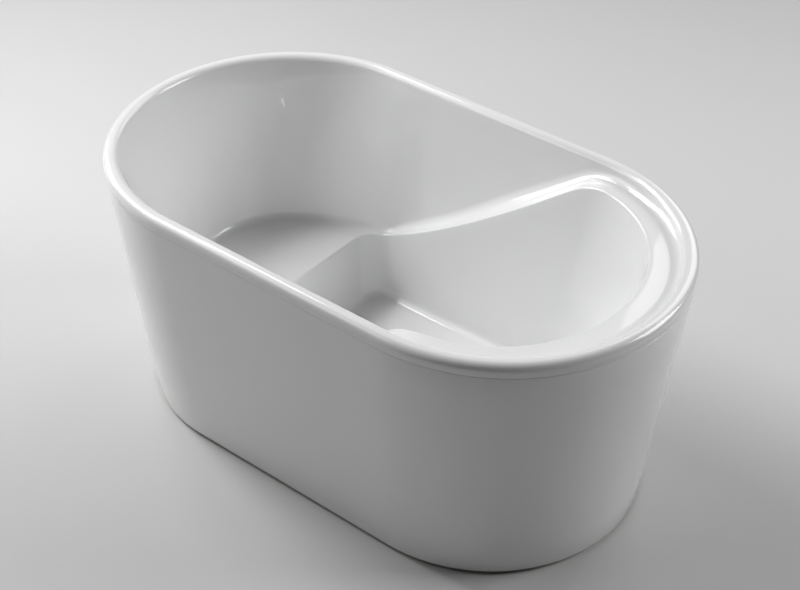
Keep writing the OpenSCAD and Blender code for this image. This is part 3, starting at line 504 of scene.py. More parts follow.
SKIRT_T, FLANGE_W, BOND_GAP = 5.0, 35.0, 0.3
shoulder, upstand_top = SHELL_T + BOND_GAP, RIM_ARC_Z - BOND_GAP
edge_r = 1.2
foot_top = SKIRT_GAP + SKIRT_T
wall_heights = np.linspace(80.0, LIP_BASE - 60.0, 7)
loop = (rounded((edge_r, SKIRT_GAP + edge_r), 1.5 * math.pi, math.pi, edge_r)
        + [(0.0, z) for z in wall_heights]
        + rounded((edge_r, LIP_BASE - edge_r), math.pi, 0.5 * math.pi, edge_r)
        + [(shoulder, LIP_BASE), (shoulder, upstand_top),
           (shoulder + SKIRT_T, upstand_top), (shoulder + SKIRT_T, LIP_BASE - SKIRT_T),
           (SKIRT_T, LIP_BASE - 2 * SKIRT_T)]
        + [(SKIRT_T, z) for z in wall_heights[::-1]]
        + [(SKIRT_T, foot_top + SKIRT_T), (SKIRT_T + 2.0, foot_top + 1.0),
           (SKIRT_T + 5.0, foot_top), (SKIRT_T + FLANGE_W - 1.0, foot_top),
           (SKIRT_T + FLANGE_W, foot_top - 1.0),
           (SKIRT_T + FLANGE_W, SKIRT_GAP + 1.0), (SKIRT_T + FLANGE_W - 1.0, SKIRT_GAP)])
loop = np.array(loop)
skirt_rings = wall_rings(column(loop[:, 0]), column(loop[:, 1]))
skirt = new_piece("skirt_shell", [closed_grid(skirt_rings)], "tub", ["skirt"],
                  "white_acrylic")
seen_rings = 4 + len(wall_heights) + 4
mark_back(skirt, np.arange(len(loop)) >= seen_rings)

# %% [markdown]
# ## Forms for the parts inside
# Most hidden parts are made by a few real processes: turning, drawing into tube, bending
# from plate and moulding. One helper stands for each. Corners of an outline are softened
# first, because every real edge has a small radius.


# %% Outlines and turning
def softened(points, radii, steps=3):
    """An outline whose corners give way to arcs that are tangent to both neighbouring sides.
    A radius is shortened where a side is too short for it."""
    points, out = np.asarray(points, float), []
    for i, p in enumerate(points):
        radius = radii[i] if np.ndim(radii) else radii
        a, b = points[i - 1] - p, points[(i + 1) % len(points)] - p
        la, lb = np.hypot(*a), np.hypot(*b)
        a, b = a / la, b / lb
        half = math.acos(max(-1.0, min(1.0, float(a @ b)))) / 2
        if radius <= 0.0 or half > 1.55:
            out.append(p)
            continue
        reach = min(radius / math.tan(half), 0.49 * la, 0.49 * lb)
        centre = p + (a + b) / np.hypot(*(a + b)) * reach / math.cos(half)
        start, end, turn = p + a * reach - centre, p + b * reach - centre, math.pi - 2 * half
        for t in np.linspace(0.0, 1.0, steps + 1):
            out.append(centre + (start * math.sin((1 - t) * turn)
                                 + end * math.sin(t * turn)) / math.sin(turn))
    return np.array(out)


def square_axes(direction):
    """Two directions square to an axis and to each other, and the axis itself."""
    axis = np.asarray(direction, float) / np.linalg.norm(direction)
    side = np.array([1.0, 0.0, 0.0]) if abs(axis[0]) < 0.9 else np.array([0.0, 1.0, 0.0])
    first = side - axis * (side @ axis)
    first /= np.linalg.norm(first)
    return first, np.cross(axis, first), axis


def turned(outline, origin, direction=(0, 0, 1), segments=48, shape=None):
    """A body of revolution from an outline of radius and height. An outline that starts and
    ends on the axis is solid; any other is closed on itself, like a ring. shape may change
    the radii and heights round the axis."""
    outline, origin = np.asarray(outline, float), np.asarray(origin, float)
    angle = np.arange(segments) * 2 * math.pi / segments
    solid = outline[0, 0] == 0.0 and outline[-1, 0] == 0.0
    body = outline[1:-1] if solid else outline
    radius, height = body[:, :1] + 0 * angle, body[:, 1:] + 0 * angle
    if shape:
        radius, height = shape(radius, height, angle)
    first, second, axis = square_axes(direction)
    grid = (origin + (radius * np.cos(angle))[..., None] * first
            + (radius * np.sin(angle))[..., None] * second + height[..., None] * axis)
    if not solid:
        return closed_grid(grid)
    return capped_grid(grid, origin + outline[0, 1] * axis, origin + outline[-1, 1] * axis)


def ring_outline(outer, inner, low, high, edge=0.4):
    """The outline of a ring or pipe wall, with softened edges."""
    return softened([(inner, low), (outer, low), (outer, high), (inner, high)], edge, 2)


def bar(half_width, half_depth, edge, steps=3):
    """The outline of a rectangular bar about its middle, with softened corners."""
    return softened([(-half_width, -half_depth), (half_width, -half_depth),
                     (half_width, half_depth), (-half_width, half_depth)], edge, steps)


def box_mm(node):
    """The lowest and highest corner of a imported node, in millimetres."""
    low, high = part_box(node)
    return np.array(low) / MM, np.array(high) / MM


print("softened square:", len(softened([(0, 0), (9, 0), (9, 9), (0, 9)], 2.0)), "points")

# %% [markdown]
# ## Plates, sweeps and pipes
# A plate is a plan outline with two softened edges. A sweep carries a section along a path
# that bends in one plane, and a pipe is the same with two skins.


# %% Plates and sweeps
def plate(outline, low, high, edge, centre=None, hole=0.0):
    """A plate from a plan outline. Its faces close on a point, or on the rim of a hole."""
    outline = np.asarray(outline, float)
    centre = outline.mean(0) if centre is None else np.asarray(centre, float)
    a = np.linspace(0.0, math.pi / 2, 3)
    inset = np.concatenate([edge * (1 - np.sin(a)), edge * (1 - np.sin(a[::-1]))])
    level = np.concatenate([low + edge * (1 - np.cos(a)),
                            high - edge * (1 - np.cos(a[::-1]))])
    away = outline - centre
    unit = away / np.linalg.norm(away, axis=1)[:, None]
    grid = [np.column_stack([outline - unit * i, np.full(len(outline), z)])
            for i, z in zip(inset, level)]
    if hole <= 0.0:
        return capped_grid(np.array(grid), [*centre, low], [*centre, high])
    rim = centre + unit * hole
    inner = [np.column_stack([rim, np.full(len(rim), z)]) for z in (high, low)]
    return closed_grid(np.array(grid + inner))


def along_path(path, side):
    """Directions across a path and square to side, at each of its points."""
    along = np.gradient(path, axis=0)
    along /= np.linalg.norm(along, axis=1)[:, None]
    return np.cross(side, along)


def swept(path, section, side, scale=None):
    """A section carried along a path. Its first number runs along side, its second across."""
    path, section, side = (np.asarray(v, float) for v in (path, section, side))
    scale = np.ones(len(path)) if scale is None else scale
    grid = (path[:, None] + (section[None, :, :1] * side
            + section[None, :, 1:] * along_path(path, side)[:, None]) * scale[:, None, None])
    return capped_grid(grid, path[0], path[-1])


def piped(path, outer, inner, side):
    """A pipe wall along a path: outer and inner radii, one or one for each point."""
    path, side = np.asarray(path, float), np.asarray(side, float)
    angle = np.arange(40) * 2 * math.pi / 40
    ring = (np.cos(angle)[None, :, None] * side
            + np.sin(angle)[None, :, None] * along_path(path, side)[:, None])
    skins = [path[:, None] + ring * np.reshape(r, (-1, 1, 1)) for r in (outer, inner)]
    return closed_grid(np.concatenate([skins[0], skins[1][::-1]]))


circle_8 = np.column_stack([f(np.arange(8) * math.pi / 4) for f in (np.cos, np.sin)])


def weld_bead(start, end, way, size=2.6):
    """A bead of weld along an inside corner: a flattened rod, slightly rippled like the
    puddle that made it, with tapered ends. way points from the corner into the open."""
    start, end, way = (np.asarray(v, float) for v in (start, end, way))
    length = np.linalg.norm(end - start)
    way = way / np.linalg.norm(way)
    t = np.linspace(0.0, 1.0, 21)
    taper = np.minimum(1.0, np.minimum(t, 1 - t) * length / size + 0.3)
    ripple = 0.93 + 0.07 * np.cos(t * length / size * 2 * math.pi)
    side = np.cross((end - start) / length, way)
    return swept(start + (end - start) * t[:, None], circle_8 * size * (1.0, 0.5), side,
                 taper * ripple)


print("weld bead faces:", sum(len(f) for f in weld_bead((0, 0, 0), (0, 20, 0), (1, 0, 1))[1]))

# %% [markdown]
# ## The steel frame
# The frame is cut from square tube with rounded corners. Rails run along the bath, cross
# tubes lie on them, and posts with bearers carry the seat. A short bead of weld lies along
# each joint.


# %% Square tube
TUBE_WALL, TUBE_CORNER = 2.0, 2.6


def square_tube(node, way):
    """A drawn square tube that fills a node's box, open along one axis."""
    low, high = box_mm(node)
    across = [i for i in range(3) if i != way]
    half = (high - low)[across[0]] / 2
    middle, edge = (low + high) / 2, 0.4
    outer = bar(half, half, TUBE_CORNER, 4)
    inner = bar(half - TUBE_WALL, half - TUBE_WALL, 1.0, 4)

    def ring(loop, place, shrink=0.0):
        """The loop across the tube at one place along it, a little smaller at the ends."""
        points = np.zeros((len(loop), 3))
        points[:, across] = middle[across] + loop * (1 - shrink / half)
        points[:, way] = place
        return points

    start, end = low[way], high[way]
    return closed_grid(np.array([
        ring(outer, start, edge), ring(outer, start + edge), ring(outer, end - edge),
        ring(outer, end, edge), ring(inner, end), ring(inner, start)]))


STEEL = "galvanised_steel"
cross_boxes = [box_mm(f"cross_{i}") for i in range(1, 6)]
for node in ("rail_front", "rail_back"):
    low, high = box_mm(node)
    beads = [weld_bead((x, low[1] + 2, high[2]), (x, high[1] - 2, high[2]), (s, 0, 0.9))
             for cross_low, cross_high in cross_boxes
             for x, s in ((cross_low[0] + 1, -1), (cross_high[0] - 1, 1))]
    new_piece(node + "_tube", [square_tube(node, 0)] + beads, "tub", [node], STEEL)
for i in range(1, 6):
    new_piece(f"cross_tube_{i}", [square_tube(f"cross_{i}", 1)], "tub", [f"cross_{i}"], STEEL)
for i in range(1, 5):
    low, high = box_mm(f"post_{i}")
    beads = [weld_bead((x, low[1] + 2, z), (x, high[1] - 2, z), (s, 0, rise), size)
             for x, s in ((low[0], -1), (high[0], 1))
             for z, rise, size in ((low[2], 0.9, 2.4), (high[2] + 0.6, -0.2, 1.6))]
    new_piece(f"seat_post_{i}", [square_tube(f"post_{i}", 2)] + beads, "tub", [f"post_{i}"],
              STEEL)
for i in (1, 2):
    new_piece(f"seat_bearer_{i}", [square_tube(f"bearer_{i}", 1)], "tub", [f"bearer_{i}"],
              STEEL)

# %% [markdown]
# ### Boards
# Two boards stiffen the acrylic: one lies under the well's floor, with an opening round the
# waste, and one lies under the seat. Their edges are sawn and lightly eased.

# %% Boards
BOARD_CORNER, BOARD_OPENING, BOARD_EDGE = 45.0, 62.0, 0.8
low, high = box_mm("floor_board")
half = high[1]
straight, corner_x, corner_y = high[0] - half, low[0] + BOARD_CORNER, half - BOARD_CORNER
turn = np.radians(np.arange(-90, 91, 3))
round_turn = np.pi / 2 + np.radians(np.arange(0, 91, 6))
outline = np.concatenate([
    np.column_stack([straight + half * np.cos(turn), half * np.sin(turn)]),
    np.column_stack([np.linspace(straight, corner_x, 24)[1:-1], np.full(22, half)]),
    np.column_stack([corner_x + BOARD_CORNER * np.cos(round_turn),
                     corner_y + BOARD_CORNER * np.sin(round_turn)])])
outline = np.concatenate([outline, (outline * (1, -1))[::-1][:-len(turn)]])
new_piece("well_floor_board", [plate(outline, low[2], high[2], BOARD_EDGE, (DRAIN_X, 0.0),
                                     BOARD_OPENING)], "tub", ["floor_board"], "board")

low, high = box_mm("seat_board")
seat_centre = -(LENGTH - WIDTH) / 2
radius = seat_centre - low[0]
reach = math.acos((high[0] - seat_centre) / radius)
turn = np.linspace(reach, 2 * math.pi - reach, 90)
cut_corners = np.where(np.isin(np.arange(90), (0, 89)), 6.0, 0.0)
outline = softened(np.column_stack([seat_centre + radius * np.cos(turn),
                                    radius * np.sin(turn)]), cut_corners)
new_piece("seat_stiffener_board", [plate(outline, low[2], high[2], BOARD_EDGE)], "tub",
          ["seat_board"], "board")

# %% [markdown]
# ### Brackets, screws and caps
# Each bracket is a strip of plate bent at a right angle. Its foot is screwed to the skirt's
# flange, and its upright is welded to a cross tube's end. Plastic caps close the rails, and
# thin ribs on their plugs grip the tube.

# %% Brackets
BRACKET_T, BEND_R, BRACKET_HALF_WIDTH = 3.0, 3.5, 15.0
HALF_T = BRACKET_T / 2
section = bar(BRACKET_HALF_WIDTH, HALF_T, 0.5, 2)
bracket_places = []
for i in range(1, 7):
    node = f"bracket_{i}"
    low, high = box_mm(node)
    x, s = (low[0] + high[0]) / 2, -1 if low[1] < 0 else 1
    face = high[1] if s < 0 else low[1]
    tip = low[1] if s < 0 else high[1]
    bracket_places.append((x, s, face))
    bend = np.linspace(0, math.pi / 2, 7)
    corner_y, corner_z = face + s * (HALF_T + BEND_R), low[2] + HALF_T + BEND_R
    path = ([(x, face + s * HALF_T, z)
             for z in (high[2], high[2] - 0.4, high[2] - 12, corner_z + 6)]
            + [(x, corner_y - s * BEND_R * math.cos(t), corner_z - BEND_R * math.sin(t))
               for t in bend]
            + [(x, y, low[2] + HALF_T) for y in (corner_y + s * 6, tip - s * 0.4, tip)])
    ends = np.ones(len(path))
    ends[[0, -1]] = 0.985
    new_piece(f"skirt_bracket_{i}", [swept(path, section, (1, 0, 0), ends)], "tub", [node],
              STEEL)


# %% Screws and caps
def recessed(depth, reach):
    """A cross recess: points near the axis sink, deeper along the two slots of the cross."""
    def shape(radius, height, angle):
        """Sinks a head's upper face inside reach, along two crossing slots."""
        slot = np.abs(np.cos(2 * angle)) ** 6
        inside = np.clip(1 - radius / reach, 0, 1) * (height >= height.max() - 0.6)
        return radius, height - depth * inside ** 0.4 * (0.35 + 0.65 * slot)
    return shape


def threaded(radius, low, high, pitch, depth, origin, tip=1.0):
    """A rod with a screw thread: the radius follows a sharp wave that climbs one pitch in
    each turn, and fades near both ends."""
    segments = 32
    z = np.linspace(low, high - tip, max(8, int((high - low) / pitch * 6)))
    angle = np.arange(segments) * 2 * math.pi / segments
    share = (z[:, None] / pitch - angle / (2 * math.pi)) % 1.0
    ease = np.minimum(1.0, np.minimum(z - low, high - tip - z) / pitch)[:, None]
    wave = radius - depth * np.abs(2 * share - 1) ** 0.8 * np.clip(ease, 0, 1)
    reach = np.vstack([wave, np.full((1, segments), max(radius - tip, 0.4))])
    height = np.append(z, high)
    x, y, base = origin
    grid = np.stack([x + reach * np.cos(angle), y + reach * np.sin(angle),
                     base + height[:, None] + 0 * angle], -1)
    return capped_grid(grid, (x, y, base + height[0]), (x, y, base + height[-1]))


SCREW_HEAD = [(0, 0), (2.4, 0), (4.9, 0), (5.0, 0.4), (4.6, 1.6), (3.6, 2.7), (2.6, 3.0),
              (1.8, 3.0), (1.0, 3.0), (0, 2.0)]
SCREW_R, BRACKET_SCREW_OUT = 2.5, 23.0


def screw_head(place, direction=(0, 0, 1)):
    """A pan head with a cross recess, which rises from its place along a direction."""
    return turned(SCREW_HEAD, place, direction, shape=recessed(1.6, 2.6))


screw_shells = []
for x, s, face in bracket_places:
    y = face + s * BRACKET_SCREW_OUT
    screw_shells += [screw_head((x, y, 18.0)),
                     threaded(SCREW_R, 0.0, 2.95, 1.2, 0.4, (x, y, 15.02), 0.3)]
new_piece("bracket_fixing_screws", screw_shells, "tub", ["bracket_screws"], "zinc_steel")

screw_shells = []
for x in (-150.0, 190.0):
    for y in (-105.0, 105.0):
        screw_shells += [screw_head((x, y, 35.0), (0, 0, -1)),
                         threaded(SCREW_R, 0.0, 36.0, 1.8, 0.6, (x, y, 35.0), 1.6)]
new_piece("board_fixing_screws", screw_shells, "tub", ["board_screws"], "zinc_steel")

cap_shells = []
low, high = box_mm("rail_caps")
RAIL_Y, RAIL_Z = 140.0, 25.0
lid, plug = bar(10.0, 10.0, 2.4, 4), bar(7.9, 7.9, 1.2, 4)
for end_x, s in ((low[0], -1), (high[0], 1)):
    for y in (-RAIL_Y, RAIL_Y):
        skin = [(lid * k, end_x - s * d) for k, d in ((0.93, 0.0), (0.985, 0.3), (1.0, 0.9),
                                                      (1.0, 2.0))]
        skin += [(plug * k, end_x - s * (2.0 + d)) for k, d in (
            (0.93, 0.01), (0.93, 1.6), (1.0, 2.4), (0.93, 3.2), (0.93, 4.8), (1.0, 5.6),
            (0.93, 6.4), (0.93, 8.0), (1.0, 8.8), (0.93, 9.6), (0.88, 11.8), (0.80, 12.0))]
        grid = np.array([np.column_stack([np.full(len(l), x), y + l[:, 0], RAIL_Z + l[:, 1]])
                         for l, x in skin])
        cap_shells.append(capped_grid(grid, (skin[0][1], y, RAIL_Z), (skin[-1][1], y, RAIL_Z)))
new_piece("rail_end_caps", cap_shells, "tub", ["rail_caps"], "dark_plastic")

# %% [markdown]
# ## The levelling feet
# Each foot is a threaded stud in a plastic pad. It turns in a nut that is welded under a
# cross tube, and a second nut locks it. The pad's sole has grooves, and ribs run from its
# hub to its rim.


# %% Nuts, studs and pads
def nut(across, bore, low, high, origin, direction=(0, 0, 1)):
    """A hexagon nut: the flats' distance gives the radius at each angle, and the corners
    are chamfered on both faces."""
    def hexagon(radius, height, angle):
        """Draws the outer rows out to six corners."""
        hexa = across / 2 / np.cos(angle % (math.pi / 3) - math.pi / 6)
        outer = radius > bore + 0.7
        return np.where(outer, np.minimum(radius, hexa), radius), height

    corner = across / math.sqrt(3)
    outline = [(bore + 0.5, low), (across / 2 * 0.97, low), (corner, low + 1.1),
               (corner, high - 1.1), (across / 2 * 0.97, high), (bore + 0.5, high),
               (bore, high - 0.5), (bore, low + 0.5)]
    return turned(outline, origin, direction, 72, hexagon)


def sole(radius, height, angle):
    """Presses grooves into a pad's sole and raises ribs on its upper side."""
    groove = (np.abs(np.cos(6 * angle)) > 0.55) & (radius > 7.0) & (radius < 21.5)
    rib = np.abs(np.cos(4 * angle)) ** 12 * (radius > 12.0) * (radius < 21.0)
    under, over = height < 1.5, height > 3.5
    return radius, height + np.where(under & groove, 1.1, 0.0) + np.where(over, 1.4 * rib, 0)


pad_outline = np.concatenate([
    [(0, 0), (6.5, 0), (7.5, 0), (12, 0), (16, 0), (21, 0), (22, 0)],
    [(24.0, 0.0), (24.6, 0.3), (25.0, 1.0), (25.0, 3.6), (24.6, 4.6), (23.4, 5.6),
     (22.0, 5.6), (20.0, 5.4), (17.0, 5.2), (13.0, 5.2), (11.0, 5.4), (9.8, 7.0),
     (9.2, 10.0), (8.6, 10.8), (8.0, 11.0), (5.6, 11.0), (5.05, 10.6), (5.02, 5.0),
     (0, 5.0)]])
feet = [(-470.0, -176.0), (-470.0, 176.0), (-150.0, 0.0), (455.0, -176.0), (455.0, 176.0)]
NUT_ACROSS, NUT_BORE, LOCK_Z, WELD_Z, NUT_TOP = 17.0, 5.05, 21.0, 27.0, 35.0
weld_shells, lock_shells = [], []
for i, (x, y) in enumerate(feet, 1):
    weld_shells += [nut(NUT_ACROSS, NUT_BORE, WELD_Z, NUT_TOP, (x, y, 0.0))]
    weld_shells += [weld_bead((x + 8.2 * s, y - 4, 34.4), (x + 8.2 * s, y + 4, 34.4),
                              (s, 0, -0.8), 1.4) for s in (-1, 1)]
    lock_shells.append(nut(NUT_ACROSS, NUT_BORE, LOCK_Z, WELD_Z, (x, y, 0.0)))
    new_piece(f"foot_{i}_stud", [threaded(4.98, 5.0, 50.0, 1.5, 0.9, (x, y, 0.0), 1.0)],
              f"foot_{i}", [f"foot_stud_{i}"], "zinc_steel")
    new_piece(f"foot_{i}_pad", [turned(pad_outline, (x, y, 0.0), segments=96, shape=sole)],
              f"foot_{i}", [f"foot_pad_{i}"], "dark_plastic")
new_piece("welded_nuts", weld_shells, "tub", ["weld_nuts"], "zinc_steel")
new_piece("locking_nuts", lock_shells, "tub", ["lock_nuts"], "zinc_steel")

# %% [markdown]
# ## The waste
# A chromed flange clamps the well's floor between two seals. Its spider holds a click
# cartridge, and the stopper's stem slides in that. Below, a moulded body joins the outlet
# and the branch from the overflow.

# %% Waste flange and seals
drain = (DRAIN_X, 0.0, 0.0)
flange_outline = softened(
    [(24.0, 61.0), (24.0, 80.5), (36.0, 80.5), (34.6, 82.9), (27.5, 83.5), (24.9, 82.2),
     (21.0, 78.0), (21.0, 61.0)], [0.6, 0.0, 0.5, 1.2, 1.0, 1.0, 2.0, 0.6], 4)
flange = [turned(flange_outline, drain, segments=96),
          turned(ring_outline(9.05, 6.56, 63.0, 68.0, 0.5), drain)]
for a in np.arange(6) * math.pi / 3:
    way = np.array([math.cos(a), math.sin(a), 0.0])
    path = np.array([DRAIN_X, 0.0, 65.5]) + way * np.linspace(8.2, 21.6, 6)[:, None]
    flange.append(swept(path, bar(1.75, 2.5, 0.7), (-way[1], way[0], 0.0)))
new_piece("chromed_waste_flange", flange, "tub", ["waste_flange"], "chrome")
new_piece("waste_upper_seal", [turned(ring_outline(34.0, 24.1, 79.0, 80.5, 0.3), drain,
                                      segments=72)], "tub", ["waste_top_seal"], "seal_rubber")
ribbed = [(24.1, 71.0), (34.0, 71.0), (34.0, 74.0), (31.5, 74.0), (31.0, 73.5), (30.5, 74.0),
          (28.5, 74.0), (28.0, 73.5), (27.5, 74.0), (24.1, 74.0)]
new_piece("waste_lower_seal", [turned(softened(ribbed, 0.2, 2), drain, segments=72)], "tub",
          ["waste_bottom_seal"], "seal_rubber")

# %% Waste body
body_outline = softened(
    [(17.0, 10.0), (20.0, 10.0), (20.0, 30.0), (27.1, 30.0), (27.1, 67.0), (34.0, 67.0),
     (34.0, 71.0), (24.1, 71.0), (24.1, 33.0), (17.0, 33.0)],
    [0.5, 0.5, 1.0, 1.5, 1.0, 0.6, 0.5, 0.5, 1.0, 1.0], 3)
body = [turned(body_outline, drain, segments=96)]
for a in np.arange(8) * math.pi / 4 + math.pi / 8:
    way = np.array([math.cos(a), math.sin(a), 0.0])
    path = np.array([[DRAIN_X, 0.0, z] for z in (52.0, 58.0, 64.0, 67.5)])
    path += way * np.array([27.2, 28.2, 29.4, 29.6])[:, None]
    body.append(swept(path, bar(1.0, 3.0, 0.4), (-way[1], way[0], 0.0),
                      np.array([0.12, 0.5, 0.95, 1.0])))
branch_outline = softened([(9.2, 23.0), (13.1, 23.0), (13.1, 53.1), (11.1, 53.1),
                           (11.1, 39.1), (9.2, 39.1)], [0, 0, 0.6, 0.4, 0.2, 0.2], 2)
body.append(turned(branch_outline, (DRAIN_X, 0.0, 50.0), (0, -1, 0)))
new_piece("waste_body_moulding", body, "tub", ["waste_body"], "white_plastic")

# %% Click cartridge and stopper
cartridge_outline = softened(
    [(4.05, 54.0), (6.1, 54.0), (6.55, 54.6), (6.55, 58.0), (6.2, 58.3), (6.2, 60.7),
     (6.55, 61.0), (6.55, 70.0), (6.2, 72.0), (4.05, 72.0)], 0.3, 2)
new_piece("click_mechanism", [turned(cartridge_outline, drain)], "tub", ["click_cartridge"],
          "brass")
dome = [(30.0 * t, 97.8 - 3.0 * t * t) for t in np.linspace(0, 1, 14)[1:-1]]
cap_outline = ([(0, 97.8)] + dome + [(30.0, 94.75), (30.6, 94.4), (31.0, 93.7),
               (31.0, 92.9), (30.7, 92.2), (30.0, 91.8), (26.0, 91.8), (25.5, 92.6),
               (6.0, 92.6), (5.2, 91.8), (4.05, 91.8), (0, 91.8)])
new_piece("stopper_dome", [turned(cap_outline, drain, segments=96)], "stopper",
          ["stopper_cap"], "chrome")
lip_outline = softened([(4.05, 89.8), (20.5, 89.8), (22.0, 90.0), (23.0, 91.2),
                        (22.6, 91.8), (4.05, 91.8)], 0.3, 2)
new_piece("stopper_lip_seal", [turned(lip_outline, drain, segments=72)], "stopper",
          ["stopper_seal"], "seal_rubber")
stem_outline = [(0, 53.0), (2.4, 53.0), (3.4, 53.5), (4.0, 54.6), (4.0, 75.0), (3.4, 75.6),
                (3.4, 77.4), (4.0, 78.0), (4.0, 93.0), (3.6, 93.8), (0, 93.8)]
new_piece("stopper_pin", [turned(stem_outline, drain)], "stopper", ["stopper_stem"], "chrome")

# %% [markdown]
# ## The overflow
# The overflow sits on the near inner wall, under the rim. A chromed cover hides its hole and
# lets water in through a slot on its lower side. Behind the wall an elbow turns the water
# down into a pipe, which bends under the well to the waste body.


# %% Overflow frame and hole
OVER_Z = HEIGHT - 90.0
radii = RIM_INNER_R * (1 - math.sin(SIDE_ANGLE))
over_inset = (RIM_TOP_INSET + RIM_INNER_R * math.cos(SIDE_ANGLE)
              + math.tan(SIDE_ANGLE) * (HEIGHT - radii - OVER_Z))
OVER = np.array([DRAIN_X, over_inset - WIDTH / 2, OVER_Z])
INTO = np.array([0.0, math.cos(SIDE_ANGLE), math.sin(SIDE_ANGLE)])
DOWN = np.array([0.0, math.sin(SIDE_ANGLE), -math.cos(SIDE_ANGLE)])


def drill_basin(radius):
    """Cuts the overflow's hole through the basin with a short round rod, then removes it."""
    rod = [(0, -14), (radius, -14), (radius, 8), (0, 8)]
    points, face_sets = turned(rod, OVER, INTO, 64)
    mesh = bpy.data.meshes.new("cutter")
    mesh.from_pydata((points * MM).tolist(), [], sum([f.tolist() for f in face_sets], []))
    cutter = bpy.data.objects.new("cutter", mesh)
    bpy.context.scene.collection.objects.link(cutter)
    cut = basin.modifiers.new("cut", "BOOLEAN")
    cut.object, cut.operation, cut.solver = cutter, "DIFFERENCE", "EXACT"
    view = bpy.context.evaluated_depsgraph_get()
    drilled = bpy.data.meshes.new_from_object(basin.evaluated_get(view))
    basin.modifiers.remove(cut)
    bpy.data.objects.remove(cutter, do_unlink=True)
    drilled.name = "basin_shell"
    drilled.shade_smooth()
    drilled.set_sharp_from_angle(angle=SMOOTH_ANGLE)
    basin.data = drilled
    backs = sum(p.material_index for p in drilled.polygons)
    return len(drilled.polygons), backs


print("basin faces with the overflow hole:", drill_basin(27.0))

# %% Overflow cover, screw and seal
SLOT_TOP, SLOT_HALF_WIDTH = 6.0, 19.8


def slotted(radius, height, angle):
    """Lifts the wall's lower rim on the downward side, where the water enters."""
    across = np.abs(radius * np.cos(angle - slot_turn))
    beside = (across < SLOT_HALF_WIDTH) & (np.sin(angle - slot_turn) > 0)
    return radius, np.where((radius > 30.0) & beside, np.maximum(height, SLOT_TOP), height)


first, second = square_axes(INTO)[:2]
slot_turn = math.atan2(float(DOWN @ second), float(DOWN @ first)) - math.pi / 2
cover_outline = softened(
    [(3.1, 8.0), (31.0, 8.0), (31.0, 0.0), (33.0, 0.0), (33.0, 8.6), (31.4, 10.0),
     (12.0, 10.0), (7.0, 9.7), (3.1, 9.7)],
    [0.2, 1.5, 0.5, 0.5, 0.9, 0.9, 1.0, 0.5, 0.2], 4)
new_piece("overflow_rose", [turned(cover_outline, OVER, INTO, 120, slotted)], "tub",
          ["overflow_cover"], "chrome")
screw_outline = ([(0, 11.3), (0.9, 12.5), (1.8, 12.5), (2.8, 12.5), (4.0, 12.4), (4.8, 12.2),
                  (5.7, 11.0), (6.0, 10.1), (5.4, 9.8), (3.0, 9.8), (2.98, 8.8)]
                 + [(2.98 - 0.35 * (i % 2), 8.0 - 0.5 * i) for i in range(66)]
                 + [(2.4, -25.6), (0, -26.0)])
new_piece("overflow_fixing_screw",
          [turned(screw_outline, OVER, INTO, shape=recessed(1.2, 3.0))],
          "tub", ["overflow_screw"], "chrome")
new_piece("overflow_sealing_ring",
          [turned(ring_outline(30.0, 27.0, -8.0, -5.0, 0.4), OVER, INTO, 72)],
          "tub", ["overflow_seal"], "seal_rubber")

# %% Elbow and pipes
PIPE_OFFSET, BRANCH_Z, PIPE_BEND_R = -21.4, 50.0, 45.0
PIPE_OUTER, PIPE_INNER = 11.0, 9.2
pipe_axis = OVER + INTO * PIPE_OFFSET
cup = softened([(0.01, -32.0), (30.0, -32.0), (30.0, -8.0), (27.0, -8.0), (27.0, -29.0),
                (0.01, -29.0)], [0, 3.0, 0.5, 0.5, 2.0, 0], 3)
cup[0, 0] = cup[-1, 0] = 0.0
boss = [(3.1, -31.0), (6.0, -31.0), (6.0, -10.4), (5.6, -10.0), (3.4, -10.0), (3.1, -10.3)]
neck = softened([(8.0, 24.0), (13.1, 24.0), (13.1, 48.0), (13.1, 50.0), (11.1, 50.0),
                 (11.1, 36.0), (8.0, 36.0)], [0, 0, 0, 0.6, 0.4, 0.2, 0.2], 2)
elbow = [turned(cup, OVER, INTO, 96), turned(boss, OVER, INTO),
         turned(neck, pipe_axis, DOWN)]
new_piece("overflow_elbow_moulding", elbow, "tub", ["overflow_elbow"], "white_plastic")

down_length = (pipe_axis[2] - BRANCH_Z) / math.cos(SIDE_ANGLE)
bend_turn = math.pi / 2 - SIDE_ANGLE
bend_tangent = PIPE_BEND_R * math.tan(bend_turn / 2)
bend_start = down_length - bend_tangent
run_start = np.array([DRAIN_X, pipe_axis[1] + down_length * math.sin(SIDE_ANGLE)
                      + bend_tangent, BRANCH_Z])
new_piece("overflow_down_pipe",
          [turned(ring_outline(PIPE_OUTER, PIPE_INNER, 36.0, bend_start, 0.3), pipe_axis,
                  DOWN, 40)], "tub", ["overflow_pipe"], "white_plastic")
sweep = np.linspace(math.pi * 1.5 - bend_turn, math.pi * 1.5, 25)
bend_path = run_start + (0.0, 0.0, PIPE_BEND_R) + PIPE_BEND_R * np.column_stack(
    [0 * sweep, np.cos(sweep), np.sin(sweep)])
socket = softened([(10.0, -0.05), (11.1, -0.05), (11.1, 14.0), (13.1, 14.0), (13.1, -2.0),
                   (10.0, -2.0)], [0, 0, 0.4, 0.6, 0.8, 0], 2)
new_piece("overflow_bend_moulding",
          [piped(bend_path, 12.0, PIPE_INNER, (1.0, 0.0, 0.0)),
           turned(socket, pipe_axis + DOWN * bend_start, -DOWN),
           turned(socket, run_start, (0, 1, 0))],
          "tub", ["overflow_bend"], "white_plastic")
new_piece("branch_pipe_length",
          [turned(ring_outline(PIPE_OUTER, PIPE_INNER, 0.0, -39.1 - run_start[1], 0.3),
                  run_start, (0, 1, 0), 40)],
          "tub", ["branch_pipe"], "white_plastic")
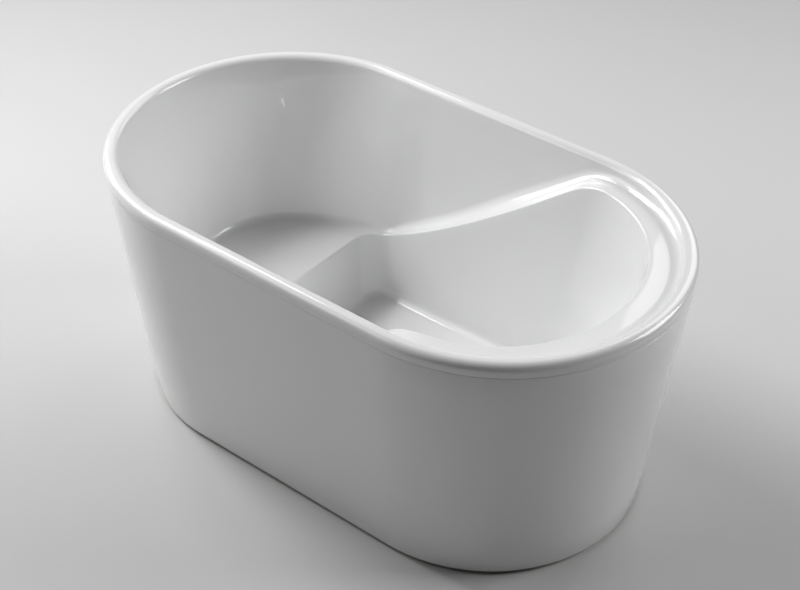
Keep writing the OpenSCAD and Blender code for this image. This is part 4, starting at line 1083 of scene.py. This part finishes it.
new_piece("compression_nut", [nut(32.2, 13.2, 0.0, 10.0, (DRAIN_X, -43.1, BRANCH_Z),
                                  (0, -1, 0))], "tub", ["pipe_nut"], "dark_plastic")

# %% [markdown]
# ## Materials from shared effects
# Every finish is built from a few shared effects: soft mottling, moulded grain, crystals of
# zinc, wood chips, glass strands and the fine lines of drawn or turned metal. Each effect is
# a node group with named inputs, made once, and reads only the object's own coordinates in
# metres. Each material then takes the effects with its own values.


# %% Node helpers
def add(tree, kind, inputs=None, **settings):
    """A node with settings; each input is given a value or another node's output."""
    node = tree.nodes.new(kind)
    for key, value in settings.items():
        setattr(node, key, value)
    for key, value in (inputs or {}).items():
        if isinstance(value, bpy.types.NodeSocket):
            tree.links.new(value, node.inputs[key])
        else:
            node.inputs[key].default_value = value
    return node


def effect(name, inputs, outputs):
    """An empty node group with named number or vector inputs and outputs."""
    tree = bpy.data.node_groups.new(name, "ShaderNodeTree")
    for way, sockets in (("INPUT", inputs), ("OUTPUT", outputs)):
        for label, value in sockets.items():
            kind = "NodeSocketVector" if value == "vector" else "NodeSocketFloat"
            socket = tree.interface.new_socket(label, in_out=way, socket_type=kind)
            if way == "INPUT" and value != "vector":
                socket.default_value = value
    return tree, tree.nodes.new("NodeGroupInput").outputs, tree.nodes.new("NodeGroupOutput")


def math_node(tree, operation, a, b=0.0, c=0.0):
    """The result of one sum on numbers or other nodes' outputs."""
    return add(tree, "ShaderNodeMath", {0: a, 1: b, 2: c}, operation=operation).outputs[0]


def noise(tree, vector, scale, detail=2.0, roughness=0.5):
    """A cloud of values between nought and one."""
    return add(tree, "ShaderNodeTexNoise", {"Vector": vector, "Scale": scale, "Detail": detail,
                                            "Roughness": roughness}).outputs["Fac"]


def stretched(tree, vector, x, y, z, turn=(0.0, 0.0, 0.0)):
    """Coordinates stretched along the axes, after a turn about each of them."""
    turned_vector = add(tree, "ShaderNodeMapping", {"Vector": vector, "Rotation": turn})
    return add(tree, "ShaderNodeMapping", {"Vector": turned_vector.outputs[0],
                                           "Scale": (x, y, z)}).outputs[0]


# %% [markdown]
# ### Mottling, grain and zinc crystals
# Mottling is a soft cloud between two levels. Grain is the fine unevenness that a mould
# leaves. Zinc that cools on steel grows crystals, each of its own shade, a few millimetres
# wide. Cells of a Voronoi pattern stand in for them.

# %% Mottle, grain and spangle
mottle, given, out = effect("mottle", {"Vector": "vector", "Scale": 20.0, "Low": 0.0,
                                       "High": 1.0}, {"Value": 0.0})
cloud = noise(mottle, given["Vector"], given["Scale"], 3.0)
spread = math_node(mottle, "SUBTRACT", given["High"], given["Low"])
mottle.links.new(math_node(mottle, "MULTIPLY_ADD", cloud, spread, given["Low"]), out.inputs[0])

grain, given, out = effect("grain", {"Vector": "vector", "Fine": 900.0, "Coarse": 60.0,
                                     "Coarse Share": 0.5}, {"Height": 0.0})
fine = noise(grain, given["Vector"], given["Fine"], 1.0)
coarse = noise(grain, given["Vector"], given["Coarse"], 2.0)
mixed = add(grain, "ShaderNodeMix", {"Factor": given["Coarse Share"], "A": fine, "B": coarse})
grain.links.new(mixed.outputs[0], out.inputs[0])

spangle, given, out = effect("zinc_spangle", {"Vector": "vector", "Scale": 160.0},
                             {"Shade": 0.0, "Height": 0.0})
bent = add(spangle, "ShaderNodeVectorMath", {
    0: given["Vector"],
    1: add(spangle, "ShaderNodeVectorMath",
           {0: add(spangle, "ShaderNodeTexNoise", {"Vector": given["Vector"], "Scale": 90.0})
            .outputs["Color"], "Scale": 0.006}, operation="SCALE").outputs[0]},
    operation="ADD").outputs[0]
crystals = add(spangle, "ShaderNodeTexVoronoi", {"Vector": bent, "Scale": given["Scale"]})
shade = add(spangle, "ShaderNodeSeparateColor", {"Color": crystals.outputs["Color"]})
spangle.links.new(shade.outputs[0], out.inputs["Shade"])
ferns = noise(spangle, stretched(spangle, bent, 500.0, 1800.0, 500.0, (0.0, 0.0, 0.6)),
              1.0, 1.0)
spangle.links.new(math_node(spangle, "MULTIPLY_ADD", ferns, 0.4, shade.outputs[1]),
                  out.inputs["Height"])

# %% [markdown]
# ### Lines, chips and strands
# Drawn tube carries fine lines along its length, turned metal carries rings round its axis.
# Particle board shows pressed chips, each of its own tone. The hidden side of the acrylic is
# backed with resin and chopped glass, which shows as short crossing strands.

# %% Lines, chips and strands
lines, given, out = effect("drawn_lines", {"Vector": "vector"}, {"Height": 0.0})
along_x = noise(lines, stretched(lines, given["Vector"], 12.0, 2400.0, 2400.0), 1.0, 1.0)
along_y = noise(lines, stretched(lines, given["Vector"], 2400.0, 12.0, 2400.0), 1.0, 1.0)
lines.links.new(math_node(lines, "MULTIPLY", along_x, along_y), out.inputs[0])

turned_rings, given, out = effect("turned_rings", {"Vector": "vector", "Centre X": 0.06,
                                                   "Centre Y": 0.0}, {"Height": 0.0})
parts = add(turned_rings, "ShaderNodeSeparateXYZ", {0: given["Vector"]}).outputs
dx = math_node(turned_rings, "SUBTRACT", parts[0], given["Centre X"])
dy = math_node(turned_rings, "SUBTRACT", parts[1], given["Centre Y"])
distance = math_node(turned_rings, "SQRT", math_node(
    turned_rings, "ADD", math_node(turned_rings, "MULTIPLY", dx, dx),
    math_node(turned_rings, "MULTIPLY", dy, dy)))
ring_place = add(turned_rings, "ShaderNodeCombineXYZ", {0: distance, 2: parts[2]}).outputs[0]
turned_rings.links.new(noise(turned_rings, ring_place, 3000.0, 1.0), out.inputs[0])

chips, given, out = effect("wood_chips", {"Vector": "vector", "Scale": 220.0},
                           {"Tone": 0.0, "Height": 0.0})
flat = stretched(chips, given["Vector"], 1.0, 0.45, 2.5, (0.0, 0.0, 0.3))
big = add(chips, "ShaderNodeTexVoronoi", {"Vector": flat, "Scale": given["Scale"]})
tone = add(chips, "ShaderNodeSeparateColor", {"Color": big.outputs["Color"]}).outputs[0]
fleck = noise(chips, flat, 900.0, 3.0, 0.7)
chips.links.new(math_node(chips, "MULTIPLY_ADD", tone, 0.6,
                          math_node(chips, "MULTIPLY", fleck, 0.4)), out.inputs["Tone"])
chips.links.new(math_node(chips, "MULTIPLY_ADD", fleck, 0.5, tone), out.inputs["Height"])

strands, given, out = effect("glass_strands", {"Vector": "vector", "Width": 260.0},
                             {"Mask": 0.0, "Height": 0.0})
strongest = 0.0
for turn in ((0.3, 0.5, 0.2), (1.1, -0.6, 1.3), (0.4, 0.9, 2.2), (2.0, 0.2, 2.9),
             (0.8, 1.4, 0.7)):
    strand = noise(strands, stretched(strands, given["Vector"], 26.0, 420.0, 420.0, turn),
                   1.0, 1.0)
    strongest = math_node(strands, "MAXIMUM", strand, strongest)
mask = add(strands, "ShaderNodeMapRange", {"Value": strongest, "From Min": 0.55,
                                           "From Max": 0.72}).outputs[0]
strands.links.new(mask, out.inputs["Mask"])
strands.links.new(math_node(strands, "MULTIPLY_ADD",
                            noise(strands, given["Vector"], given["Width"], 3.0), 0.6, mask),
                  out.inputs["Height"])
print("effects:", sorted(group.name for group in bpy.data.node_groups))


# %% [markdown]
# ### Finishes
# A finish is one Principled shader. Its fixed values are set on its sockets, and its colour,
# roughness and bump come from the effects. Most finishes are clouded in colour and in
# roughness, so one helper makes them.


# %% Finish helpers
def finish_start(name, **values):
    """A new material: its tree, its shader and its object coordinates."""
    material = bpy.data.materials.new(name)
    material.use_nodes = True
    tree = material.node_tree
    shader = tree.nodes["Principled BSDF"]
    for socket, value in values.items():
        shader.inputs[socket.replace("_", " ")].default_value = value
    return material, tree, shader, tree.nodes.new("ShaderNodeTexCoord").outputs["Object"]


def use(tree, group, place, **values):
    """A shared effect in a material, with its own values; returns its outputs."""
    inputs = {key.replace("_", " "): value for key, value in values.items()}
    node = tree.nodes.new("ShaderNodeGroup")
    node.node_tree = group
    tree.links.new(place, node.inputs["Vector"])
    for key, value in inputs.items():
        node.inputs[key].default_value = value
    return node.outputs


def tint(tree, shader, value, dark, pale):
    """Colours between a dark and a pale tone."""
    mix = add(tree, "ShaderNodeMix", data_type="RGBA")
    tree.links.new(value, mix.inputs[0])
    mix.inputs[6].default_value, mix.inputs[7].default_value = (*dark, 1), (*pale, 1)
    tree.links.new(mix.outputs[2], shader.inputs["Base Color"])


def rough(tree, shader, value, low, high):
    """Roughness between two levels."""
    ramp = add(tree, "ShaderNodeMapRange", {"Value": value, "To Min": low, "To Max": high})
    tree.links.new(ramp.outputs[0], shader.inputs["Roughness"])


def bumped(tree, shader, height, depth, strength=1.0):
    """A bump whose depth is given in metres."""
    bump = add(tree, "ShaderNodeBump", {"Strength": strength, "Distance": depth,
                                        "Height": height})
    tree.links.new(bump.outputs[0], shader.inputs["Normal"])


def clouded(tree, place, scale):
    """The mottle effect's value at one scale."""
    return use(tree, mottle, place, Scale=scale)["Value"]


def plain_finish(name, colours, levels, relief, depth, fixed):
    """A finish from three effects. colours holds a cloud's scale and two tones, levels a
    cloud's scale and two roughnesses, and relief the bump's effect and its values."""
    material, tree, shader, place = finish_start(name, **fixed)
    tint(tree, shader, clouded(tree, place, colours[0]), *colours[1:])
    rough(tree, shader, clouded(tree, place, levels[0]), *levels[1:])
    bumped(tree, shader, use(tree, relief[0], place, **relief[1])["Height"], *depth)
    return material


# %% Acrylic, inside and out
METAL, PLASTIC = {"Metallic": 1.0}, {"IOR": 1.5}
acrylic = plain_finish("white_acrylic", (3.0, (0.835, 0.838, 0.838), (0.855, 0.857, 0.855)),
                       (9.0, 0.26, 0.36),
                       (grain, {"Fine": 260.0, "Coarse": 14.0, "Coarse_Share": 0.8}),
                       (0.00025, 0.25),
                       {"Coat_Weight": 0.85, "Coat_Roughness": 0.03, "IOR": 1.49})

backing, tree, shader, place = finish_start("glass_and_resin_back", **PLASTIC)
glass = use(tree, strands, place)
tint(tree, shader, glass["Mask"], (0.50, 0.47, 0.38), (0.66, 0.64, 0.55))
rough(tree, shader, clouded(tree, place, 40.0), 0.45, 0.75)
bumped(tree, shader, glass["Height"], 0.0006)

# %% Steel
galvanised, tree, shader, place = finish_start("galvanised_steel", Metallic=0.9)
zinc = use(tree, spangle, place)
tint(tree, shader, zinc["Shade"], (0.40, 0.42, 0.43), (0.60, 0.62, 0.63))
rough(tree, shader, zinc["Shade"], 0.38, 0.56)
bumped(tree, shader, zinc["Height"], 0.00004)

zinc_plate = plain_finish("zinc_plate", (70.0, (0.58, 0.59, 0.58), (0.70, 0.70, 0.66)),
                          (300.0, 0.22, 0.42), (lines, {}), (0.00003,), METAL)
chrome = plain_finish("chrome_plate", (30.0, (0.77, 0.78, 0.79), (0.81, 0.82, 0.83)),
                      (120.0, 0.04, 0.09), (turned_rings, {}), (0.000004,), METAL)
brass = plain_finish("turned_brass", (60.0, (0.62, 0.45, 0.20), (0.74, 0.57, 0.29)),
                     (200.0, 0.20, 0.34), (turned_rings, {}), (0.00004,), METAL)

# %% Plastic, rubber and board
white_plastic = plain_finish("white_plastic", (25.0, (0.72, 0.72, 0.70), (0.78, 0.78, 0.76)),
                             (90.0, 0.30, 0.42), (grain, {}), (0.00004,), PLASTIC)
dark_plastic = plain_finish(
    "dark_plastic", (50.0, (0.030, 0.031, 0.034), (0.050, 0.051, 0.055)),
    (160.0, 0.42, 0.60), (grain, {"Fine": 1500.0}), (0.00006,), PLASTIC)
rubber = plain_finish(
    "seal_rubber", (80.0, (0.022, 0.022, 0.022), (0.040, 0.040, 0.040)),
    (240.0, 0.68, 0.86), (grain, {"Fine": 2200.0, "Coarse": 400.0}), (0.00006,),
    {"IOR": 1.45})

board, tree, shader, place = finish_start("particle_board", IOR=1.4)
pressed = use(tree, chips, place)
tint(tree, shader, pressed["Tone"], (0.30, 0.19, 0.10), (0.66, 0.50, 0.32))
rough(tree, shader, clouded(tree, place, 150.0), 0.74, 0.92)
bumped(tree, shader, pressed["Height"], 0.0003)

FINISHES = {"white_acrylic": [acrylic, backing], "board": [board],
            "galvanised_steel": [galvanised], "zinc_steel": [zinc_plate],
            "dark_plastic": [dark_plastic], "chrome": [chrome], "seal_rubber": [rubber],
            "brass": [brass], "white_plastic": [white_plastic]}
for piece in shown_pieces():
    for material in FINISHES[piece["finish"]]:
        piece.data.materials.append(material)
    del piece["finish"]

# %% [markdown]
# ## Floor and light
# The floor is plain and pale, and far off it fades into an even backdrop. A small lamp and a
# larger, stronger one stand high beyond the seat's end, so the rim throws a soft crescent of
# shadow on the seat. Four wide lamps round the bath lighten the rest.

# %% Studio
BACKDROP, SKY_LIGHT = 0.40, 0.02
FLOOR_REACH, FADE_NEAR, FADE_FAR = 30.0, 1.2, 4.5
floor_mesh = bpy.data.meshes.new("floor")
floor_mesh.from_pydata([(x * FLOOR_REACH, y * FLOOR_REACH, 0)
                        for x, y in ((-1, -1), (1, -1), (1, 1), (-1, 1))], [], [(0, 1, 2, 3)])
floor = bpy.data.objects.new("floor", floor_mesh)
bpy.context.scene.collection.objects.link(floor)
floor_finish, tree, shader, place = finish_start("studio_floor")
tint(tree, shader, clouded(tree, place, 1.5), (0.58, 0.58, 0.58), (0.60, 0.60, 0.60))
rough(tree, shader, clouded(tree, place, 6.0), 0.65, 0.75)
spot = add(tree, "ShaderNodeVectorMath", {0: place}, operation="LENGTH").outputs["Value"]
far = add(tree, "ShaderNodeMapRange", {"Value": spot, "From Min": FADE_NEAR,
                                       "From Max": FADE_FAR},
          interpolation_type="SMOOTHSTEP").outputs[0]
seen = tree.nodes.new("ShaderNodeLightPath").outputs["Is Camera Ray"]
backdrop = add(tree, "ShaderNodeEmission", {"Color": (BACKDROP, BACKDROP, BACKDROP, 1)})
blend = add(tree, "ShaderNodeMixShader", {0: math_node(tree, "MULTIPLY", far, seen),
                                          1: shader.outputs[0], 2: backdrop.outputs[0]})
tree.links.new(blend.outputs[0], tree.nodes["Material Output"].inputs[0])
floor_mesh.materials.append(floor_finish)
floor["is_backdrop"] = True


LAMP_AIM, LAMP_DISTANCE = Vector((0.0, 0.0, 0.45)), 4.5


def area_light(name, direction, size, power):
    """A square lamp that stands in a direction from the bath and is turned towards it."""
    data = bpy.data.lights.new(name, "AREA")
    data.shape = "SQUARE"
    data.size, data.energy = size, power
    lamp = bpy.data.objects.new(name, data)
    lamp.location = LAMP_AIM + Vector(direction).normalized() * LAMP_DISTANCE
    lamp.rotation_mode = "QUATERNION"
    lamp.rotation_quaternion = (LAMP_AIM - lamp.location).to_track_quat("-Z", "Y")
    bpy.context.scene.collection.objects.link(lamp)


area_light("key", (-0.563, 0.134, 0.815), 0.65, 20)
area_light("soft_key", (-0.75, -0.1, 0.7), 1.5, 130)
area_light("low_left", (-1.0, 0.0, 0.35), 2.0, 55)
area_light("right_back", (0.75, 0.6, 0.55), 2.0, 90)
area_light("back", (0.0, 1.0, 0.7), 2.5, 45)
area_light("front_left", (-0.6, -0.6, 0.7), 2.0, 30)

world = bpy.data.worlds.new("studio")
world.use_nodes = True
bpy.context.scene.world = world
tree = world.node_tree
sky = tree.nodes["Background"]
sky.inputs["Color"].default_value = (1, 1, 1, 1)
seen = tree.nodes.new("ShaderNodeLightPath").outputs["Is Camera Ray"]
strength = add(tree, "ShaderNodeMapRange", {"Value": seen, "To Min": SKY_LIGHT,
                                            "To Max": BACKDROP})
tree.links.new(strength.outputs[0], sky.inputs["Strength"])
bpy.context.scene.view_settings.view_transform = "Standard"

# %% Finish
low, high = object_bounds()
